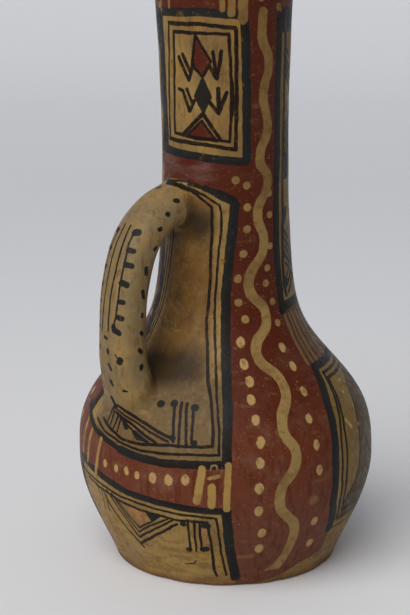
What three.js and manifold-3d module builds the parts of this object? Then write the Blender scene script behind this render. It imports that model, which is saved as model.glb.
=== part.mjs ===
// A hand-built pottery vase: a flat foot, a round belly, a tall narrow neck and one loop handle.
// It is one fired piece of clay, hollow and open at the mouth. Millimetres, +Z up.
// The origin is the middle of the underside, and the handle stands on the -X side.

import * as THREE from "three";
import { mergeVertices } from "three/addons/utils/BufferGeometryUtils.js";
import Module from "manifold-3d";

// Outside of the vessel
const vaseHeight = 345;
const footRadius = 58;
const footEdge = 1.6; // rounding between the underside and the wall
const bellyRadius = 78;
const bellyZ = 56; // height of the widest ring
const shoulderFall = 54; // rise above the widest ring over which the shoulder falls in most
const neckFootRadius = 36.4;
const neckFootZ = 140; // height where the shoulder has run out into the neck
const waistRadius = 32.6;
const waistZ = 220; // height of the neck's narrowest ring
const mouthRadius = 36.5;
const neckLean = 2.5; // how far the mouth stands off the axis, towards the handle

// Clay
const wall = 7;
const lipWall = 5.6;
const floorThickness = 9;
const cavityCorner = 16; // rounding between the floor and the wall inside

// Handle
const handleWidth = 27;
const handleThickness = 19.5;
const fingerGap = 20.5; // clear space between the neck and the handle
const handleTopZ = 194; // height of the handle's middle line where it leaves the neck
const handleFootZ = 91; // height of the handle's middle line where it enters the shoulder
const rootFlare = 4; // how much the clay is spread on each side at both roots

// How full the curves are; these have no size of their own
const bellyFullness = 0.85;
const shoulderFullness = 3;
const handleSquareness = 0.85;

// The handle's run, as shares of the height between its roots, counted down from the top
const bendShare = 0.13;
const gripTopShare = 0.38;
const gripFootShare = 0.75;
const turnInShare = 0.9;
const bendOut = 0.67; // how far the bend has come from the neck towards the grip
const gripSlant = 2; // how much farther out the grip is at its foot than at its top
const rootShare = 0.2; // part of the handle's length over which the clay is spread at each root
const thinAtTop = 0.96;
const thickAtFoot = 1.12;

// How finely the surfaces are divided
const outerColumns = 60;
const outerRows = 38;
const innerColumns = 40;
const innerRows = 24;
const handleSides = 22;
const handleSteps = 30;

// Radius of the plain neck at a height: widening below the waist and, more gently, above it.
function neckRadius(z) {
  if (z < waistZ) {
    const below = (waistZ - z) / (waistZ - neckFootZ);
    return waistRadius + (neckFootRadius - waistRadius) * below ** 2;
  }
  const above = THREE.MathUtils.smoothstep(z, waistZ, vaseHeight);
  return waistRadius + (mouthRadius - waistRadius) * above;
}

// Radius of the outside at a height: foot, belly, shoulder and neck in one flowing line.
function outerRadius(z) {
  if (z < bellyZ) {
    const down = (bellyZ - z) / bellyZ;
    return bellyRadius - (bellyRadius - footRadius) * down ** 2 * (1 + bellyFullness * (1 - down));
  }
  const belly = Math.exp(-(((z - bellyZ) / shoulderFall) ** shoulderFullness));
  return THREE.MathUtils.lerp(neckRadius(z), bellyRadius, belly);
}

// The wall thins towards the lip.
function wallAt(z) {
  return THREE.MathUtils.lerp(wall, lipWall, THREE.MathUtils.smoothstep(z, waistZ, vaseHeight));
}

// The neck was built up a little out of true.
function leanAt(z) {
  return neckLean * Math.max(0, (z - bellyZ) / (vaseHeight - bellyZ)) ** 2;
}

// Heights spread evenly along the outline, so that the rows of faces are of about one length.
function evenHeights(radiusAt, from, to, count) {
  const fine = [];
  const samples = 400;
  for (let i = 0; i <= samples; i += 1) {
    const z = THREE.MathUtils.lerp(from, to, i / samples);
    fine.push(new THREE.Vector2(radiusAt(z), z));
  }
  const outline = new THREE.Path(fine);
  return outline.getSpacedPoints(count).map((point) => point.y);
}

// The vessel's outside as one closed body, from the middle of the underside to the middle of the mouth.
function outerBody() {
  const profile = [new THREE.Vector2(0, 0), new THREE.Vector2(footRadius - footEdge, 0)];
  for (const z of evenHeights(outerRadius, footEdge, vaseHeight - lipWall / 2, outerRows)) {
    profile.push(new THREE.Vector2(outerRadius(z), z));
  }
  // the lip is rounded over: three points of a half circle as thick as the wall
  const lipMiddle = mouthRadius - lipWall / 2;
  for (const angle of [Math.PI / 4, Math.PI / 2]) {
    const across = lipMiddle + (lipWall / 2) * Math.cos(angle);
    profile.push(new THREE.Vector2(across, vaseHeight - (lipWall / 2) * (1 - Math.sin(angle))));
  }
  profile.push(new THREE.Vector2(0, vaseHeight));
  return upright(new THREE.LatheGeometry(profile, outerColumns));
}

// The space inside, which runs on past the mouth so that it cuts the lip open.
function cavity() {
  const past = wall;
  const profile = [new THREE.Vector2(0, floorThickness)];
  const cornerTop = floorThickness + cavityCorner;
  const cornerRadius = outerRadius(cornerTop) - wall;
  const cornerSteps = 5;
  for (let i = 0; i < cornerSteps; i += 1) {
    const angle = (Math.PI / 2) * (i / cornerSteps);
    const across = cornerRadius - cavityCorner * (1 - Math.sin(angle));
    profile.push(new THREE.Vector2(across, cornerTop - cavityCorner * Math.cos(angle)));
  }
  const innerTop = vaseHeight - lipWall / 2;
  for (const z of evenHeights((height) => outerRadius(height) - wallAt(height), cornerTop, innerTop, innerRows)) {
    profile.push(new THREE.Vector2(outerRadius(z) - wallAt(z), z));
  }
  const lipInner = mouthRadius - lipWall;
  const eased = lipInner + (lipWall / 2) * (1 - Math.cos(Math.PI / 4));
  profile.push(new THREE.Vector2(eased, vaseHeight - (lipWall / 2) * (1 - Math.sin(Math.PI / 4))));
  profile.push(new THREE.Vector2(lipInner + lipWall / 2, vaseHeight));
  profile.push(new THREE.Vector2(lipInner + lipWall / 2, vaseHeight + past));
  profile.push(new THREE.Vector2(0, vaseHeight + past));
  return upright(new THREE.LatheGeometry(profile, innerColumns));
}

// A lathe turns about Y: this stands it up along Z and gives the neck its lean.
function upright(geometry) {
  geometry.rotateX(Math.PI / 2);
  const position = geometry.getAttribute("position");
  for (let i = 0; i < position.count; i += 1) {
    position.setX(i, position.getX(i) - leanAt(position.getZ(i)));
  }
  return geometry;
}

// Distance from the axis to the vessel's outside, on the handle's side.
function handleSideFace(z) {
  return outerRadius(z) + leanAt(z);
}

// The handle's middle line, out of the neck, down past the fingers and into the shoulder.
function handleLine() {
  const span = handleTopZ - handleFootZ;
  const gripTopZ = handleTopZ - gripTopShare * span;
  const reach = handleSideFace(gripTopZ) + fingerGap + handleThickness / 2;
  const topRoot = handleSideFace(handleTopZ);
  const footRoot = handleSideFace(handleFootZ);
  const points = [
    [topRoot - wall, handleTopZ - gripSlant],
    [topRoot, handleTopZ],
    [THREE.MathUtils.lerp(topRoot, reach, bendOut), handleTopZ - bendShare * span],
    [reach, gripTopZ],
    [reach + gripSlant, handleTopZ - gripFootShare * span],
    [Math.min(reach, footRoot), handleTopZ - turnInShare * span],
    [footRoot - wall - handleThickness / 4, handleFootZ],
  ];
  return new THREE.CatmullRomCurve3(points.map(([out, z]) => new THREE.Vector3(-out, 0, z)));
}

// The handle: a round bar bent along its line, flattened, and spread at both ends.
function handleBody() {
  const line = handleLine();
  const bar = new THREE.CylinderGeometry(1, 1, 1, handleSides, handleSteps);
  const position = bar.getAttribute("position");
  const sideways = new THREE.Vector3(0, 1, 0);
  for (let i = 0; i < position.count; i += 1) {
    const along = THREE.MathUtils.clamp(position.getY(i) + 0.5, 0, 1);
    const fromEnd = Math.min(along, 1 - along);
    const spread = rootFlare * Math.max(1 - fromEnd / rootShare, 0) ** 2;
    const thinning = THREE.MathUtils.lerp(thinAtTop, thickAtFoot, along);
    const halfWidth = handleWidth / 2 + spread;
    const halfThickness = (handleThickness / 2) * thinning + spread;
    const centre = line.getPointAt(along);
    const outward = new THREE.Vector3().crossVectors(sideways, line.getTangentAt(along));
    centre.addScaledVector(outward, halfThickness * squared(position.getZ(i)));
    centre.addScaledVector(sideways, halfWidth * squared(position.getX(i)));
    position.setXYZ(i, centre.x, centre.y, centre.z);
  }
  return bar;
}

// Pushes a circle's coordinate out, so that the section is a rounded rectangle.
function squared(value) {
  return Math.sign(value) * Math.abs(value) ** handleSquareness;
}

const wasm = await Module();
wasm.setup();

// A closed geometry as a solid that can be joined and cut.
function toSolid(geometry) {
  geometry.deleteAttribute("normal");
  geometry.deleteAttribute("uv");
  const merged = mergeVertices(geometry, 1e-4);
  const vertProperties = new Float32Array(merged.getAttribute("position").array);
  const triVerts = new Uint32Array(merged.getIndex().array);
  return new wasm.Manifold(new wasm.Mesh({ numProp: 3, vertProperties, triVerts }));
}

// A solid as a geometry again.
function toGeometry(solid) {
  const mesh = solid.getMesh();
  const geometry = new THREE.BufferGeometry();
  geometry.setAttribute("position", new THREE.BufferAttribute(mesh.vertProperties, 3));
  geometry.setIndex(new THREE.BufferAttribute(mesh.triVerts, 1));
  geometry.computeVertexNormals();
  return geometry;
}

const firedClay = new THREE.MeshStandardMaterial({ color: 0x8a6a42, roughness: 0.5, metalness: 0 });

const vessel = toSolid(outerBody()).add(toSolid(handleBody())).subtract(toSolid(cavity()));
const vase = new THREE.Mesh(toGeometry(vessel), firedClay);
vase.name = "vase";

const group = new THREE.Group();
group.add(vase);

export default group;
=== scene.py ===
"""A hand-built pottery vase with one loop handle, painted in red, blue-black and yellow on an ochre ground.

All lengths are metres unless a name says otherwise. The vase stands on z = 0, with its handle on -X.
Places on the painted wall are given as degrees round the vase from its show side, and millimetres up.
"""

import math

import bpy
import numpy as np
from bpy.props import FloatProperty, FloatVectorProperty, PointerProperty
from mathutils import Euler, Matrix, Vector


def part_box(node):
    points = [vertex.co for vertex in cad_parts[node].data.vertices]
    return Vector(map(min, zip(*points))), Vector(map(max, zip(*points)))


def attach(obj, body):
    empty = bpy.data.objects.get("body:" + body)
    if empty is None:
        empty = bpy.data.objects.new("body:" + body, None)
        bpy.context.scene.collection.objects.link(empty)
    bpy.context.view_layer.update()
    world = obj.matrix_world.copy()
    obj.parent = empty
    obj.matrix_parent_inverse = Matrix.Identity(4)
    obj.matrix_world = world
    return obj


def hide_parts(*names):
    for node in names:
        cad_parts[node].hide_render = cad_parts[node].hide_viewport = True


bl_info = {
    "name": "Painted pottery vase",
    "version": (1, 0, 0),
    "blender": (4, 5, 0),
    "location": "3D View > Sidebar > Vase",
    "description": "Builds a hollow, hand-built vase with a loop handle and its painted bands",
    "category": "Add Mesh",
}

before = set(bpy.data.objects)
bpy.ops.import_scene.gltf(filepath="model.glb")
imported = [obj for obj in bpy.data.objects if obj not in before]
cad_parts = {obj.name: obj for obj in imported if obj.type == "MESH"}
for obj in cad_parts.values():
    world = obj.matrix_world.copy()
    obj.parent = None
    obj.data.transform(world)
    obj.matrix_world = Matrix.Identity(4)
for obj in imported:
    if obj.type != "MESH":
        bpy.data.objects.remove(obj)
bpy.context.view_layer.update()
VASE_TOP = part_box("vase")[1].z

MM = 0.001

SHOW_TURN = math.radians(-130)  # the turn about +Z from which the vase is shown
SEAM_DEG = 130  # the wall's maps are cut open opposite the handle

# How finely the surfaces are divided
WALL_ROWS = 190
WALL_COLUMNS = 192
INNER_ROWS = 84
PROFILE_SAMPLES = 600
MAP_SAMPLES = 1400
LINE_SAMPLES = 400
BAR_STEP = 1.9 * MM

# How full the curves of the outline are
BELLY_FULLNESS = 0.85
SHOULDER_FULLNESS = 3

# The handle's run, as shares of the height between its roots, counted down from the top
BEND_SHARE = 0.13
GRIP_TOP_SHARE = 0.38
GRIP_FOOT_SHARE = 0.75
TURN_IN_SHARE = 0.9
BEND_OUT = 0.67  # how far the bend has come from the neck towards the grip
GRIP_SLANT = 2 * MM  # how much farther out the grip is at its foot than at its top
BAR_SQUARENESS = 0.85

# Small breaks in the foot's edge: degrees round, half width in degrees, depth in millimetres
FOOT_CHIPS = (
    (-31, 5, 0.8), (-12, 3, 0.6), (9, 6, 0.9), (27, 2.5, 0.7),
    (118, 7, 1.0), (-96, 5, 0.8), (-171, 8, 1.1), (61, 4, 0.5),
)
CHIP_HEIGHT = 2.2 * MM


def length(name, description, value):
    """A size in metres that the user can change."""
    return FloatProperty(name=name, description=description, default=value, min=0, unit="LENGTH", precision=4)


def colour(name, description, value):
    """A plain colour that the user can change."""
    return FloatVectorProperty(
        name=name, description=description, default=value, size=3, min=0, max=1, subtype="COLOR"
    )


def angle(name, description, degrees):
    """An angle that the user can change."""
    return FloatProperty(
        name=name, description=description, default=math.radians(degrees), subtype="ANGLE", unit="ROTATION"
    )


def number(name, description, value, least=0):
    """A plain number that the user can change."""
    return FloatProperty(name=name, description=description, default=value, min=least)


class VesselSizes(bpy.types.PropertyGroup):
    """Sizes of the hollow body."""

    height: length("Height", "Foot to lip", VASE_TOP)
    foot_radius: length("Foot radius", "Underside's outer edge", 0.058)
    foot_edge: length("Foot rounding", "Rounding between underside and wall", 0.0016)
    belly_radius: length("Belly radius", "Widest ring", 0.0779)
    belly_z: length("Belly height", "Height of the widest ring", 0.056)
    shoulder_fall: length("Shoulder fall", "Rise over which the shoulder falls in most", 0.054)
    neck_foot_radius: length("Neck foot radius", "Neck where the shoulder has run out", 0.0364)
    neck_foot_z: length("Neck foot height", "Height where the shoulder has run out", 0.140)
    waist_radius: length("Waist radius", "Neck's narrowest ring", 0.0326)
    waist_z: length("Waist height", "Height of the neck's narrowest ring", 0.220)
    mouth_radius: length("Mouth radius", "Outside of the lip", 0.0365)
    neck_lean: length("Neck lean", "How far the mouth stands off the axis", 0.0025)
    wall: length("Wall", "Clay thickness of the body", 0.007)
    lip_wall: length("Lip thickness", "Clay thickness at the lip", 0.0056)
    floor: length("Floor", "Clay thickness of the bottom", 0.009)
    floor_corner: length("Floor corner", "Rounding between floor and wall inside", 0.016)
    unevenness: length("Unevenness", "How far the hand-built wall wavers", 0.0007)


class HandleSizes(bpy.types.PropertyGroup):
    """Sizes of the loop handle."""

    width: length("Width", "Across the bar", 0.027)
    thickness: length("Thickness", "Through the bar", 0.0195)
    finger_gap: length("Finger gap", "Clear space between neck and handle", 0.0203)
    top_z: length("Top root height", "Height where the bar leaves the neck", 0.194)
    foot_z: length("Foot root height", "Height where the bar enters the shoulder", 0.091)


class PaintColours(bpy.types.PropertyGroup):
    """Colours of the slips, paints and bare clay."""

    ochre: colour("Ochre slip", "Ground of the panels", (0.265, 0.168, 0.052))
    stained_ochre: colour("Stained slip", "Ground where it is clouded", (0.185, 0.108, 0.036))
    honey: colour("Honey", "Warm patches in the ground", (0.27, 0.145, 0.03))
    pale_ochre: colour("Worn slip", "Where the ground is rubbed pale", (0.40, 0.31, 0.19))
    handle_slip: colour("Handle slip", "Greyer slip of the handle", (0.188, 0.13, 0.06))
    brown: colour("Brown", "Smoked ground behind the handle", (0.145, 0.07, 0.016))
    # also the colour of the painted shade along the foot's lowest edge
    dark_brown: colour("Dark brown", "Darkest stains and pits", (0.07, 0.035, 0.014))
    red: colour("Red slip", "Fields between the panels", (0.108, 0.025, 0.0095))
    dull_red: colour("Worn red", "Where the red is smudged", (0.135, 0.053, 0.031))
    # also used for painted shade: the red is darkened higher up, partly as a deeper red and partly for the
    # weaker light on the neck
    deep_red_and_shade: colour("Deep red", "Where the red lies thick", (0.062, 0.009, 0.0025))
    yellow: colour("Yellow paint", "Wavy line, bars and dots on the red", (0.26, 0.165, 0.055))
    bright_yellow: colour("Bright yellow paint", "Bars on the belly's red band", (0.3, 0.18, 0.05))
    # also the colour of the painted highlights on the side leaves
    cream: colour("Pale yellow paint", "Dots on the belly", (0.355, 0.232, 0.084))
    smoky_red: colour("Smoky red", "Rubbed red band over the handle", (0.135, 0.070, 0.058))
    # painted shade: the ground darkened under the handle's foot
    shade_under_handle_foot: colour("Dusky slip", "Grimy ground under the handle's foot", (0.108, 0.069, 0.029))
    # partly painted shade: the colour of the dark patches in the crotches by the handle's roots
    soot_and_shade: colour("Soot", "Dark patches by the handle's roots", (0.026, 0.016, 0.007))
    black: colour("Black paint", "Thick borders", (0.008, 0.0065, 0.0052))
    blue_black: colour("Blue-black paint", "Thick strokes where they are greyer", (0.01, 0.0115, 0.0115))
    umber: colour("Umber paint", "Thin lines", (0.008, 0.0035, 0.0022))
    olive: colour("Olive slip", "Ground of the leaves at the sides", (0.165, 0.10, 0.025))
    # partly painted shade: this ground was made dark enough to stand for the shade on the vase's right side
    grey_slip_and_shade: colour("Grey slip", "Ground beyond the leaves", (0.055, 0.033, 0.008))
    orange: colour("Orange slip", "Small filled corners", (0.27, 0.135, 0.045))
    stripe: colour("Stripe", "Stripes on the shoulder", (0.135, 0.085, 0.03))
    foot_clay: colour("Foot clay", "Rubbed reddish rim of the foot", (0.125, 0.055, 0.027))
    clay: colour("Bare clay", "Inside and underside", (0.30, 0.155, 0.085))


def body_radius(vessel, z):
    """Outer radius at heights z: a foot that swells to the belly, then a bell curve down to the neck.

    Below the belly the radius falls with the square of the drop, a little faster near the belly. Above it,
    the belly blends into the neck's own radius by exp(-(rise / shoulder fall) cubed).
    """
    z = np.asarray(z, float)
    below = np.clip((vessel.waist_z - z) / (vessel.waist_z - vessel.neck_foot_z), 0, None)
    above = np.clip((z - vessel.waist_z) / (vessel.height - vessel.waist_z), 0, 1)
    neck = vessel.waist_radius + (vessel.neck_foot_radius - vessel.waist_radius) * below**2
    neck = neck + (vessel.mouth_radius - vessel.waist_radius) * above * above * (3 - 2 * above)
    down = np.clip((vessel.belly_z - z) / vessel.belly_z, 0, 1)
    swelling = 1 + BELLY_FULLNESS * (1 - down)
    foot = vessel.belly_radius - (vessel.belly_radius - vessel.foot_radius) * down**2 * swelling
    bell = np.exp(-((np.clip(z - vessel.belly_z, 0, None) / vessel.shoulder_fall) ** SHOULDER_FULLNESS))
    return np.where(z < vessel.belly_z, foot, neck + (vessel.belly_radius - neck) * bell)


def wall_at(vessel, z):
    """Wall thickness at heights z, which eases from the body's to the lip's above the waist."""
    above = np.clip((np.asarray(z, float) - vessel.waist_z) / (vessel.height - vessel.waist_z), 0, 1)
    return vessel.wall + (vessel.lip_wall - vessel.wall) * above * above * (3 - 2 * above)


def lean_at(vessel, z):
    """Sideways shift of the wall towards the handle, growing with the square of the rise over the belly."""
    rise = np.clip((np.asarray(z, float) - vessel.belly_z) / (vessel.height - vessel.belly_z), 0, None)
    return vessel.neck_lean * rise**2


def even_steps(points, count):
    """Points spread evenly by length along a fine polyline."""
    gaps = np.hypot(*np.diff(points, axis=0).T)
    run = np.concatenate(([0], np.cumsum(gaps)))
    at = np.linspace(0, run[-1], count)
    return np.stack([np.interp(at, run, points[:, 0]), np.interp(at, run, points[:, 1])], axis=1)


def arc(centre, radius, start, end, count):
    """Points of a circular arc; angles in degrees, counted from the outward direction."""
    angle = np.radians(np.linspace(start, end, count))
    return np.stack([centre[0] + radius * np.cos(angle), centre[1] + radius * np.sin(angle)], axis=1)


def wall_profile(vessel):
    """The half section as (radius, height) rows, from under the foot over the lip to the floor's middle.

    Returns the rows, the numbers of the outer wall's first and last row, and that of the lip's top row.
    """
    lip = vessel.lip_wall / 2
    fine = np.linspace(vessel.foot_edge, vessel.height - lip, PROFILE_SAMPLES)
    outer = even_steps(np.stack([body_radius(vessel, fine), fine], axis=1), WALL_ROWS)
    flat = vessel.foot_radius - vessel.foot_edge
    under = np.stack([flat * np.linspace(0.2, 1, 6), np.zeros(6)], axis=1)
    edge_out = body_radius(vessel, vessel.foot_edge) - flat
    edge_angle = np.radians(np.linspace(-72, -15, 4))
    edge_up = vessel.foot_edge * (1 + np.sin(edge_angle))
    edge = np.stack([flat + edge_out * np.cos(edge_angle), edge_up], axis=1)
    over = arc((vessel.mouth_radius - lip, vessel.height - lip), lip, 20, 160, 8)
    corner_top = vessel.floor + vessel.floor_corner
    fine = np.linspace(vessel.height - lip, corner_top, PROFILE_SAMPLES)
    inside = body_radius(vessel, fine) - wall_at(vessel, fine)
    inner = even_steps(np.stack([inside, fine], axis=1), INNER_ROWS)
    corner_r = inner[-1, 0] - vessel.floor_corner
    corner = arc((corner_r, corner_top), vessel.floor_corner, -10, -90, 8)
    bottom = np.stack([corner_r * np.linspace(0.85, 0.15, 6), np.full(6, vessel.floor)], axis=1)
    rows = np.concatenate([under, edge, outer, over, inner, corner, bottom])
    first = len(under) + len(edge)
    last = first + len(outer) - 1
    return rows, first, last, last + len(over) // 2


def paint_map(vessel):
    """Heights and their map height: the sum of wall length over radius, which keeps shapes true on the map.

    With the angle in radians as the other coordinate, a map distance times the radius is a real distance.
    """
    z = np.linspace(0, vessel.height, MAP_SAMPLES)
    radius = body_radius(vessel, z)
    step = np.hypot(np.diff(radius), np.diff(z)) / ((radius[1:] + radius[:-1]) / 2)
    return z, np.concatenate(([0], np.cumsum(step)))


def handle_line(vessel, handle, count):
    """The bar's middle line in the (outward, height) plane: a centripetal Catmull-Rom curve in even steps."""
    span = handle.top_z - handle.foot_z

    def face(z):
        return float(body_radius(vessel, z) + lean_at(vessel, z))

    grip_top = handle.top_z - GRIP_TOP_SHARE * span
    reach = face(grip_top) + handle.finger_gap + handle.thickness / 2
    top, foot = face(handle.top_z), face(handle.foot_z)
    knots = np.array([
        (top - vessel.wall, handle.top_z - GRIP_SLANT),
        (top, handle.top_z),
        (top + (reach - top) * BEND_OUT, handle.top_z - BEND_SHARE * span),
        (reach, grip_top),
        (reach + GRIP_SLANT, handle.top_z - GRIP_FOOT_SHARE * span),
        (min(reach, foot), handle.top_z - TURN_IN_SHARE * span),
        (foot - vessel.wall - handle.thickness / 4, handle.foot_z),
    ])
    knots = np.concatenate([[2 * knots[0] - knots[1]], knots, [2 * knots[-1] - knots[-2]]])
    pieces = []
    share = np.linspace(0, 1, 40)[:, None]
    for p in zip(knots[:-3], knots[1:-2], knots[2:-1], knots[3:]):
        gap = [math.sqrt(math.dist(p[i], p[i + 1])) for i in range(3)]
        before = (p[1] - p[0]) / gap[0] - (p[2] - p[0]) / (gap[0] + gap[1]) + (p[2] - p[1]) / gap[1]
        after = (p[2] - p[1]) / gap[1] - (p[3] - p[1]) / (gap[1] + gap[2]) + (p[3] - p[2]) / gap[2]
        t1, t2 = before * gap[1], after * gap[1]
        pieces.append(
            p[1] + t1 * share
            + (3 * (p[2] - p[1]) - 2 * t1 - t2) * share**2
            + (2 * (p[1] - p[2]) + t1 + t2) * share**3
        )
    return even_steps(np.concatenate(pieces), count)


class Mesh:
    """Vertices, quads and per-corner maps of the piece while it is put together."""

    def __init__(self):
        self.points = []
        self.faces = []
        self.slots = []
        self.paint = []
        self.bake = []
        self.count = 0

    def add_points(self, points):
        first = self.count
        self.points.append(points)
        self.count += len(points)
        return first

    def add_faces(self, corners, slot, paint, bake):
        """corners: (n, 3 or 4) indices; paint, bake: (n, corners, 2) maps; slot: one number or one a face."""
        self.faces.append(corners)
        self.slots.append(np.broadcast_to(slot, len(corners)))
        self.paint.append(paint.reshape(-1, 2))
        self.bake.append(bake.reshape(-1, 2))


def grid_corners(table):
    """The four corners of each cell of a table of indices or values, counter-clockwise seen from outside."""
    return np.stack([table[:-1, :-1], table[:-1, 1:], table[1:, 1:], table[1:, :-1]], axis=2)


# Where each sheet of the surface lies in the square bake map: left, bottom, right, top
BAKE_WALL = (0.003, 0.300, 0.997, 0.997)
BAKE_HANDLE = (0.003, 0.150, 0.560, 0.294)
BAKE_INSIDE = (0.566, 0.150, 0.997, 0.294)
BAKE_UNDER = (0.003, 0.003, 0.143, 0.143)
BAKE_FLOOR = (0.149, 0.003, 0.289, 0.143)

PAINTED, HANDLE_PAINTED, BARE = range(3)


def in_box(box, u, v):
    """Places shares u, v of a sheet inside its box of the bake map."""
    return np.stack([box[0] + (box[2] - box[0]) * u, box[1] + (box[3] - box[1]) * v], axis=-1)


def turn_to_deg(turn):
    """Degrees round from the show side, from -230 to 130, for a turn about +Z in radians."""
    return np.degrees(turn) - 360 + SEAM_DEG


# Where the handle's roots are let into the wall's grid: half the columns across, and the rows up
TOP_ROOT_HALF, TOP_ROOT_ROWS = 15, 19
FOOT_ROOT_HALF, FOOT_ROOT_ROWS = 12, 25
# How far the roots' middles on the wall are from the ends of the bar's line
TOP_ROOT_DROP = 2.5 * MM
FOOT_ROOT_LIFT = 4 * MM
# The bar is free of its roots from this far out of the neck to this far above its foot
CLEAR_OF_NECK = 9.5 * MM
CLEAR_OF_FOOT = 27 * MM
# The ellipse in which the clay leaves the wall, in rows and columns from its middle
TOP_ELLIPSE = (8.4, 14.4)
FOOT_ELLIPSE = (10.4, 9.8)
FLAT_RINGS = 4
RISING_RINGS = 12


def root_ring(half, low, high, from_top):
    """(row, column offset) of the wall's points round a root, from the middle of one edge by way of +Y."""
    rise = np.arange(low, high + 1)
    across = np.arange(0, half + 1)
    start, end = (high, low) if from_top else (low, high)
    side = rise[::-1] if from_top else rise
    ring = [(start, -c) for c in across]
    ring += [(r, -half) for r in side[1:]]
    ring += [(end, c) for c in range(-half + 1, half + 1)]
    ring += [(r, half) for r in side[::-1][1:]]
    ring += [(start, c) for c in across[::-1][1:-1]]
    return np.array(ring)


def hermite(a, ta, b, tb, share):
    """Cubic curve from a to b with end directions ta and tb."""
    s2, s3 = share**2, share**3
    return (2 * s3 - 3 * s2 + 1) * a + (s3 - 2 * s2 + share) * ta + (3 * s2 - 2 * s3) * b + (s3 - s2) * tb


def unit(v):
    return v / np.linalg.norm(v, axis=-1, keepdims=True)


def build_vase_mesh(vessel, handle):
    """One closed mesh: the wall's profile carried round the axis, and the bar's section along its line.

    The bar ends in rings of the wall's own points, reached by cubic curves that leave the wall along its
    surface, so the clay is smeared into it. Returns the mesh, its points and each point's girth, which is
    the wall's radius at its height.
    """
    mesh = Mesh()
    rows, first, last, top = wall_profile(vessel)
    columns = WALL_COLUMNS
    turn = np.linspace(0, 2 * np.pi, columns + 1)
    r, z = rows[:, 0][:, None], rows[:, 1][:, None]
    r = r - foot_chips(turn[:-1][None, :], z, np.arange(len(rows))[:, None] <= last)
    shell = np.stack([
        r * np.cos(turn[:-1]) - lean_at(vessel, z),
        r * np.sin(turn[:-1]),
        np.broadcast_to(z, (len(rows), columns)),
    ], axis=2)
    mesh.add_points(shell.reshape(-1, 3))
    index = np.arange(len(rows) * columns).reshape(len(rows), columns)
    index = np.concatenate([index, index[:, :1]], axis=1)

    heights, map_heights = paint_map(vessel)
    across = np.radians(turn_to_deg(turn))[None, :]
    paint = np.stack(np.broadcast_arrays(across, np.interp(z, heights, map_heights)), axis=2)
    run = np.concatenate(([0], np.cumsum(np.hypot(*np.diff(rows, axis=0).T))))
    out_run = (run - run[0]) / (run[top] - run[0])
    in_run = (run - run[top]) / (run[-1] - run[top])
    u = (turn / (2 * np.pi))[None, :]
    bake_out = in_box(BAKE_WALL, *np.broadcast_arrays(u, out_run[:, None]))
    bake_in = in_box(BAKE_INSIDE, *np.broadcast_arrays(u, in_run[:, None]))

    corners = grid_corners(index)
    row_of = np.arange(len(rows) - 1)[:, None]
    from_middle = abs(np.arange(columns)[None, :] + 0.5 - columns // 2)

    def within(root, half):
        return (row_of >= root[0]) & (row_of < root[1]) & (from_middle < half)

    top_rows = root_rows(rows, first, last, handle.top_z - TOP_ROOT_DROP, TOP_ROOT_ROWS)
    foot_rows = root_rows(rows, first, last, handle.foot_z + FOOT_ROOT_LIFT, FOOT_ROOT_ROWS)
    keep = ~(within(top_rows, TOP_ROOT_HALF) | within(foot_rows, FOOT_ROOT_HALF))
    is_in = np.broadcast_to(row_of >= top, keep.shape)
    under = np.broadcast_to(row_of < first - 2, keep.shape)
    slot = np.where(is_in | under, BARE, PAINTED)
    bake = np.where(is_in[:, :, None, None], grid_corners(bake_in), grid_corners(bake_out))
    mesh.add_faces(corners[keep], slot[keep], grid_corners(paint)[keep], bake[keep])

    disc = np.stack([np.cos(turn), np.sin(turn)], axis=1) * 0.5 + 0.5
    add_middle(mesh, index[0, ::-1], disc[::-1], 0, BAKE_UNDER)
    add_middle(mesh, index[-1], disc, vessel.floor, BAKE_FLOOR)
    add_handle(mesh, vessel, handle, shell, rows, top_rows, foot_rows, (heights, map_heights))
    points = np.concatenate(mesh.points)
    girth = body_radius(vessel, np.clip(points[:, 2], 0, vessel.height))
    return mesh, points, girth


def root_rows(rows, first, last, height, count):
    """The lowest and highest of the outer wall's rows that a root takes up round its height."""
    low = first + int(np.argmin(abs(rows[first:last, 1] - height))) - count // 2
    return low, low + count


def add_middle(mesh, ring, disc, height, box):
    """Closes a ring of points with a fan of triangles round a point on the axis."""
    columns = len(ring) - 1
    middle = mesh.add_points(np.array([[0, 0, height]]))
    fan = np.stack([np.full(columns, middle), ring[:-1], ring[1:]], axis=1)
    share = np.stack([np.full((columns, 2), 0.5), disc[:-1], disc[1:]], axis=1)
    mesh.add_faces(fan, BARE, np.zeros((columns, 3, 2)), in_box(box, share[..., 0], share[..., 1]))


def foot_chips(turn, z, outside):
    """How far small breaks eat into the foot's edge: bell shapes round the vase that fade upwards."""
    deg = turn_to_deg(turn)
    bite = np.zeros(np.broadcast(deg, z).shape)
    for middle, half_width, depth in FOOT_CHIPS:
        bite = bite + depth * MM * np.exp(-(((deg - middle) / half_width) ** 2))
    return bite * np.exp(-((z / CHIP_HEIGHT) ** 2)) * outside


def wall_points(vessel, profile, row, column):
    """Points of the wall at broken row and column numbers of its grid."""
    number = np.arange(len(profile))
    r = np.interp(row, number, profile[:, 0])
    z = np.interp(row, number, profile[:, 1])
    turn = column * 2 * np.pi / WALL_COLUMNS
    return np.stack([r * np.cos(turn) - lean_at(vessel, z), r * np.sin(turn), z], axis=-1)


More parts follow.
